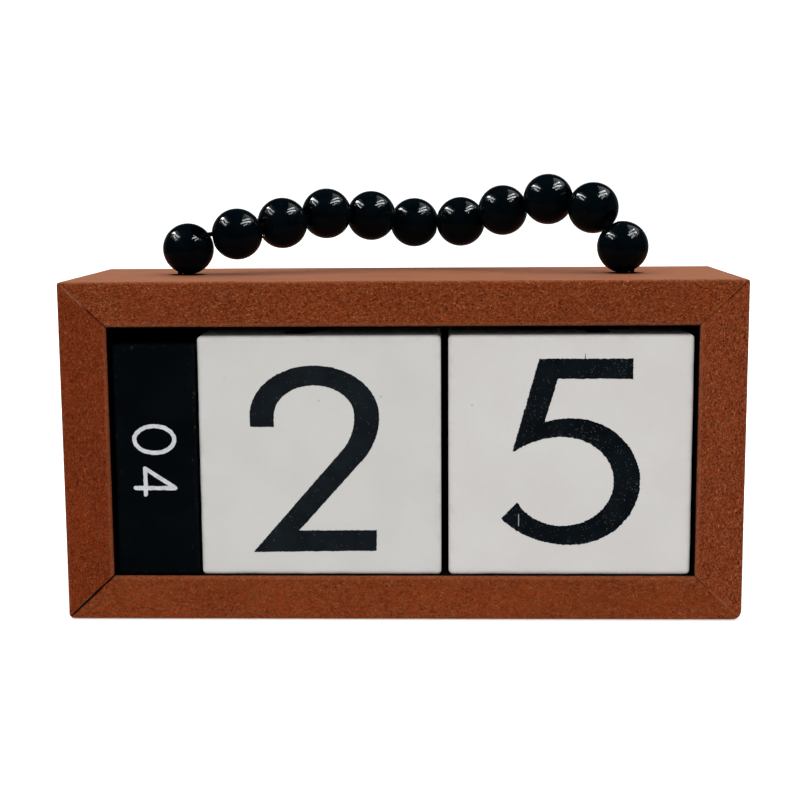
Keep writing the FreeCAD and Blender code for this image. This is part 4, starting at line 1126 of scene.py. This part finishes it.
CUBES = {
    "number_cube_left": ((-42.0, -26.6, 9.35), (8.0, 23.4, 59.35)),
    "number_cube_right": ((9.5, -26.6, 9.35), (59.5, 23.4, 59.35)),
}
paint_l = cube_paint("cube_paint_left", 1, False)
paint_r = cube_paint("cube_paint_right", 2, True)
FACES = {
    "number_cube_left": {"front": "2", "right": "6", "back": "8", "left": "0", "top": "7", "under": "1"},
    "number_cube_right": {"front": "5", "right": "0", "back": "3", "left": "1", "top": "4", "under": "2"},
}
for cube, (lo, hi) in CUBES.items():
    mat = paint_l if cube.endswith("left") else paint_r
    block(cube + "_wood", cube, lo, hi, 0.9, 1.3, mat, BLOCK_SEED[cube])
    for n_, (face, ch) in enumerate(FACES[cube].items()):
        first = face == "front"
        ink = digit_ink("ink_%s_%s" % (cube, face), n_ + (1 if cube.endswith("left") else 9),
                        (0.0054, 0.0098, 0.0140) if cube.endswith("left") else (0.0016, 0.0044, 0.0072),
                        0.0 if cube.endswith("left") else 0.35, 0.15 if cube.endswith("left") else 1.0,
                        (24.0, 21.0) if first and ch == "5" else None)
        print_digit(cube, cube, lo, hi, face, ch, 50 + n_ + (0 if cube.endswith("left") else 10), ink,
                    0.085 if first else 0.30, 0.15 if cube.endswith("right") else 0.10)

BARS = {"month_bar_front": -26.9, "month_bar_middle": -9.8, "month_bar_rear": 7.3}
MONTHS = {
    "month_bar_front": {"front": "04", "right": "05", "back": "06", "left": "07"},
    "month_bar_middle": {"front": "08", "right": "09", "back": "10", "left": "11"},
    "month_bar_rear": {"front": "12", "right": "01", "back": "02", "left": "03"},
}
bar_mat, white = bar_paint(), white_ink()
for n_, (bar, y0) in enumerate(BARS.items()):
    lo, hi = (-59.5, y0, 9.35), (-42.5, y0 + 17.0, 57.85)
    block(bar + "_wood", bar, lo, hi, 0.9, 1.3, bar_mat, BLOCK_SEED[bar])
    for k, (face, text) in enumerate(MONTHS[bar].items()):
        print_month(bar, bar, lo, hi, face, text, 80 + 10 * n_ + k, white, 0.11 if (n_ == 0 and k == 0) else 0.2)

for k in range(11):
    bead_piece(k, bead_lacquer("bead_lacquer_%02d" % (k + 1), k + 1))


# ------------------------------------------------------------------ floor, light and camera
def floor():
    bm = bmesh.new()
    bmesh.ops.create_grid(bm, x_segments=8, y_segments=8, size=30.0)
    me = bpy.data.meshes.new("floor")
    bm.to_mesh(me)
    bm.free()
    o = bpy.data.objects.new("floor", me)
    bpy.context.scene.collection.objects.link(o)
    o.location = (0, 0, -0.00015)
    m = Mat("floor_paper")
    v = m.coords()
    c = m.noise(v, 0.004, 2.0, 0.5)
    m.set("Base Color", m.mix(m.ramp(c, 0.3, 0.7), (0.905, 0.905, 0.905), (0.925, 0.925, 0.925)))
    m.set("Roughness", 0.9)
    m.set("Specular IOR Level", 0.1)
    m.set("Emission Color", (1.0, 1.0, 1.0))
    m.set("Emission Strength", 0.34)
    o.data.materials.append(m.m)
    o.visible_glossy = False
    o.visible_diffuse = False


def area(name, direction, dist, size, radiance, target=(0, 0, 0.05), roll=0.0, spread=math.pi, colour=(1, 1, 1), cam=False):
    d = Vector(direction).normalized()
    data = bpy.data.lights.new(name, "AREA")
    data.shape = "RECTANGLE"
    data.size, data.size_y = size
    data.energy = radiance * math.pi * size[0] * size[1]
    data.color = colour
    data.spread = spread
    o = bpy.data.objects.new(name, data)
    bpy.context.scene.collection.objects.link(o)
    o.location = Vector(target) + d * dist
    q = (-d).to_track_quat("-Z", "Y")
    o.rotation_mode = "QUATERNION"
    o.rotation_quaternion = q @ Matrix.Rotation(roll, 4, "Z").to_quaternion()
    o.visible_camera = cam
    return o


def world():
    w = bpy.data.worlds.new("studio")
    bpy.context.scene.world = w
    w.use_nodes = True
    nt = w.node_tree
    nt.nodes.clear()
    out = nt.nodes.new("ShaderNodeOutputWorld")
    lp = nt.nodes.new("ShaderNodeLightPath")

    def bg(colour, strength):
        b = nt.nodes.new("ShaderNodeBackground")
        b.inputs[0].default_value = (*colour, 1)
        b.inputs[1].default_value = strength
        return b

    tc = nt.nodes.new("ShaderNodeTexCoord")
    sep = nt.nodes.new("ShaderNodeSeparateXYZ")
    nt.links.new(tc.outputs["Generated"], sep.inputs[0])

    def span(sock, a, b, lo, hi):
        n = nt.nodes.new("ShaderNodeMapRange")
        n.interpolation_type = "SMOOTHSTEP"
        n.inputs["From Min"].default_value = a
        n.inputs["From Max"].default_value = b
        n.inputs["To Min"].default_value = lo
        n.inputs["To Max"].default_value = hi
        nt.links.new(sock, n.inputs["Value"])
        return n.outputs[0]

    cam_bg = bg((1, 1, 1), 1.05)
    # brighter above than below
    soft = bg((1.0, 0.992, 0.98), 0.70)
    nt.links.new(span(sep.outputs[2], -0.35, 0.45, SKY[0], SKY[1]), soft.inputs[1])
    # what polished surfaces see: a dim room, a little light low behind the object
    gloss = bg((0.90, 0.97, 1.0), 0.1)
    mul = nt.nodes.new("ShaderNodeMath")
    mul.operation = "MULTIPLY"
    nt.links.new(span(sep.outputs[1], 0.25, 0.85, 0.0, 1.0), mul.inputs[0])
    nt.links.new(span(sep.outputs[2], 0.20, 0.62, 1.0, 0.0), mul.inputs[1])
    nt.links.new(span(mul.outputs[0], 0.0, 1.0, 0.022, 0.20), gloss.inputs[1])
    mix1 = nt.nodes.new("ShaderNodeMixShader")
    nt.links.new(lp.outputs["Is Glossy Ray"], mix1.inputs[0])
    nt.links.new(soft.outputs[0], mix1.inputs[1])
    nt.links.new(gloss.outputs[0], mix1.inputs[2])
    mix2 = nt.nodes.new("ShaderNodeMixShader")
    nt.links.new(lp.outputs["Is Camera Ray"], mix2.inputs[0])
    nt.links.new(mix1.outputs[0], mix2.inputs[1])
    nt.links.new(cam_bg.outputs[0], mix2.inputs[2])
    nt.links.new(mix2.outputs[0], out.inputs[0])


SKY = (0.66, 1.00)
floor()
world()
# two windows high to the left and right, broken into panes; they are there for the beads' gloss
# across: unit vector along the window's width, rise: along its height, both square to its direction
def window(name, direction, panes, radiance):
    d = Vector(direction).normalized()
    across = Vector((0, 0, 1)).cross(d).normalized()
    rise = d.cross(across).normalized()
    for k, (ax, up, w_, h_, turn, share) in enumerate(panes):
        o = area("%s_%d" % (name, k), d + across * ax + rise * up, 1.2, (w_, h_), radiance * share,
                 target=(0, 0.005, 0.08), roll=turn)
        o.visible_diffuse = False
        o.light_linking.receiver_collection = polished


polished = bpy.data.collections.new("polished_pieces")
for k in range(11):
    polished.objects.link(bpy.data.objects["bead_%02d_turned" % (k + 1)])
window("window_left", (-0.720, -0.014, 0.691),
       [(0.00, 0.07, 1.10, 0.075, 0.16, 1.0), (0.18, -0.08, 0.70, 0.070, -0.22, 0.85), (-0.30, -0.02, 0.35, 0.060, 0.50, 0.6),
        (0.10, 0.02, 1.20, 0.50, 0.0, 0.030)], 115.0)
window("window_right", (0.618, -0.150, 0.772),
       [(-0.10, 0.02, 1.00, 0.110, -0.14, 1.0), (0.10, 0.16, 0.80, 0.080, -0.34, 0.85), (-0.28, -0.12, 0.45, 0.070, 0.30, 0.7),
        (0.25, 0.10, 1.10, 0.70, 0.0, 0.045)], 115.0)
# broad soft light from above
key = area("overhead", (0.05, 0.10, 1.0), 1.5, (3.0, 2.4), 1.10)
key.visible_glossy = False

cam_data = bpy.data.cameras.new("camera")
cam = bpy.data.objects.new("camera", cam_data)
bpy.context.scene.collection.objects.link(cam)
bpy.context.scene.camera = cam
cam_data.sensor_fit = "HORIZONTAL"
cam_data.sensor_width = 36.0
cam_data.lens = 1619.26 / 800.0 * 36.0
cam_data.shift_y = 0.05
cam_data.clip_start, cam_data.clip_end = 0.01, 20.0
pitch, yaw, roll = 0.157999, 0.031825, -0.006517


def rot(axis, a):
    return Matrix.Rotation(a, 3, axis)


swap = Matrix(((1, 0, 0), (0, 0, -1), (0, 1, 0)))
view = Matrix(((1, 0, 0), (0, -1, 0), (0, 0, -1))) @ rot("Z", roll) @ rot("X", pitch) @ rot("Y", yaw) @ swap
cam.matrix_world = Matrix.Translation(Vector((10.0314, -328.0238 + FRONT, 90.2197)) * MM) @ view.transposed().to_4x4()
bpy.context.scene.view_settings.view_transform = "Standard"
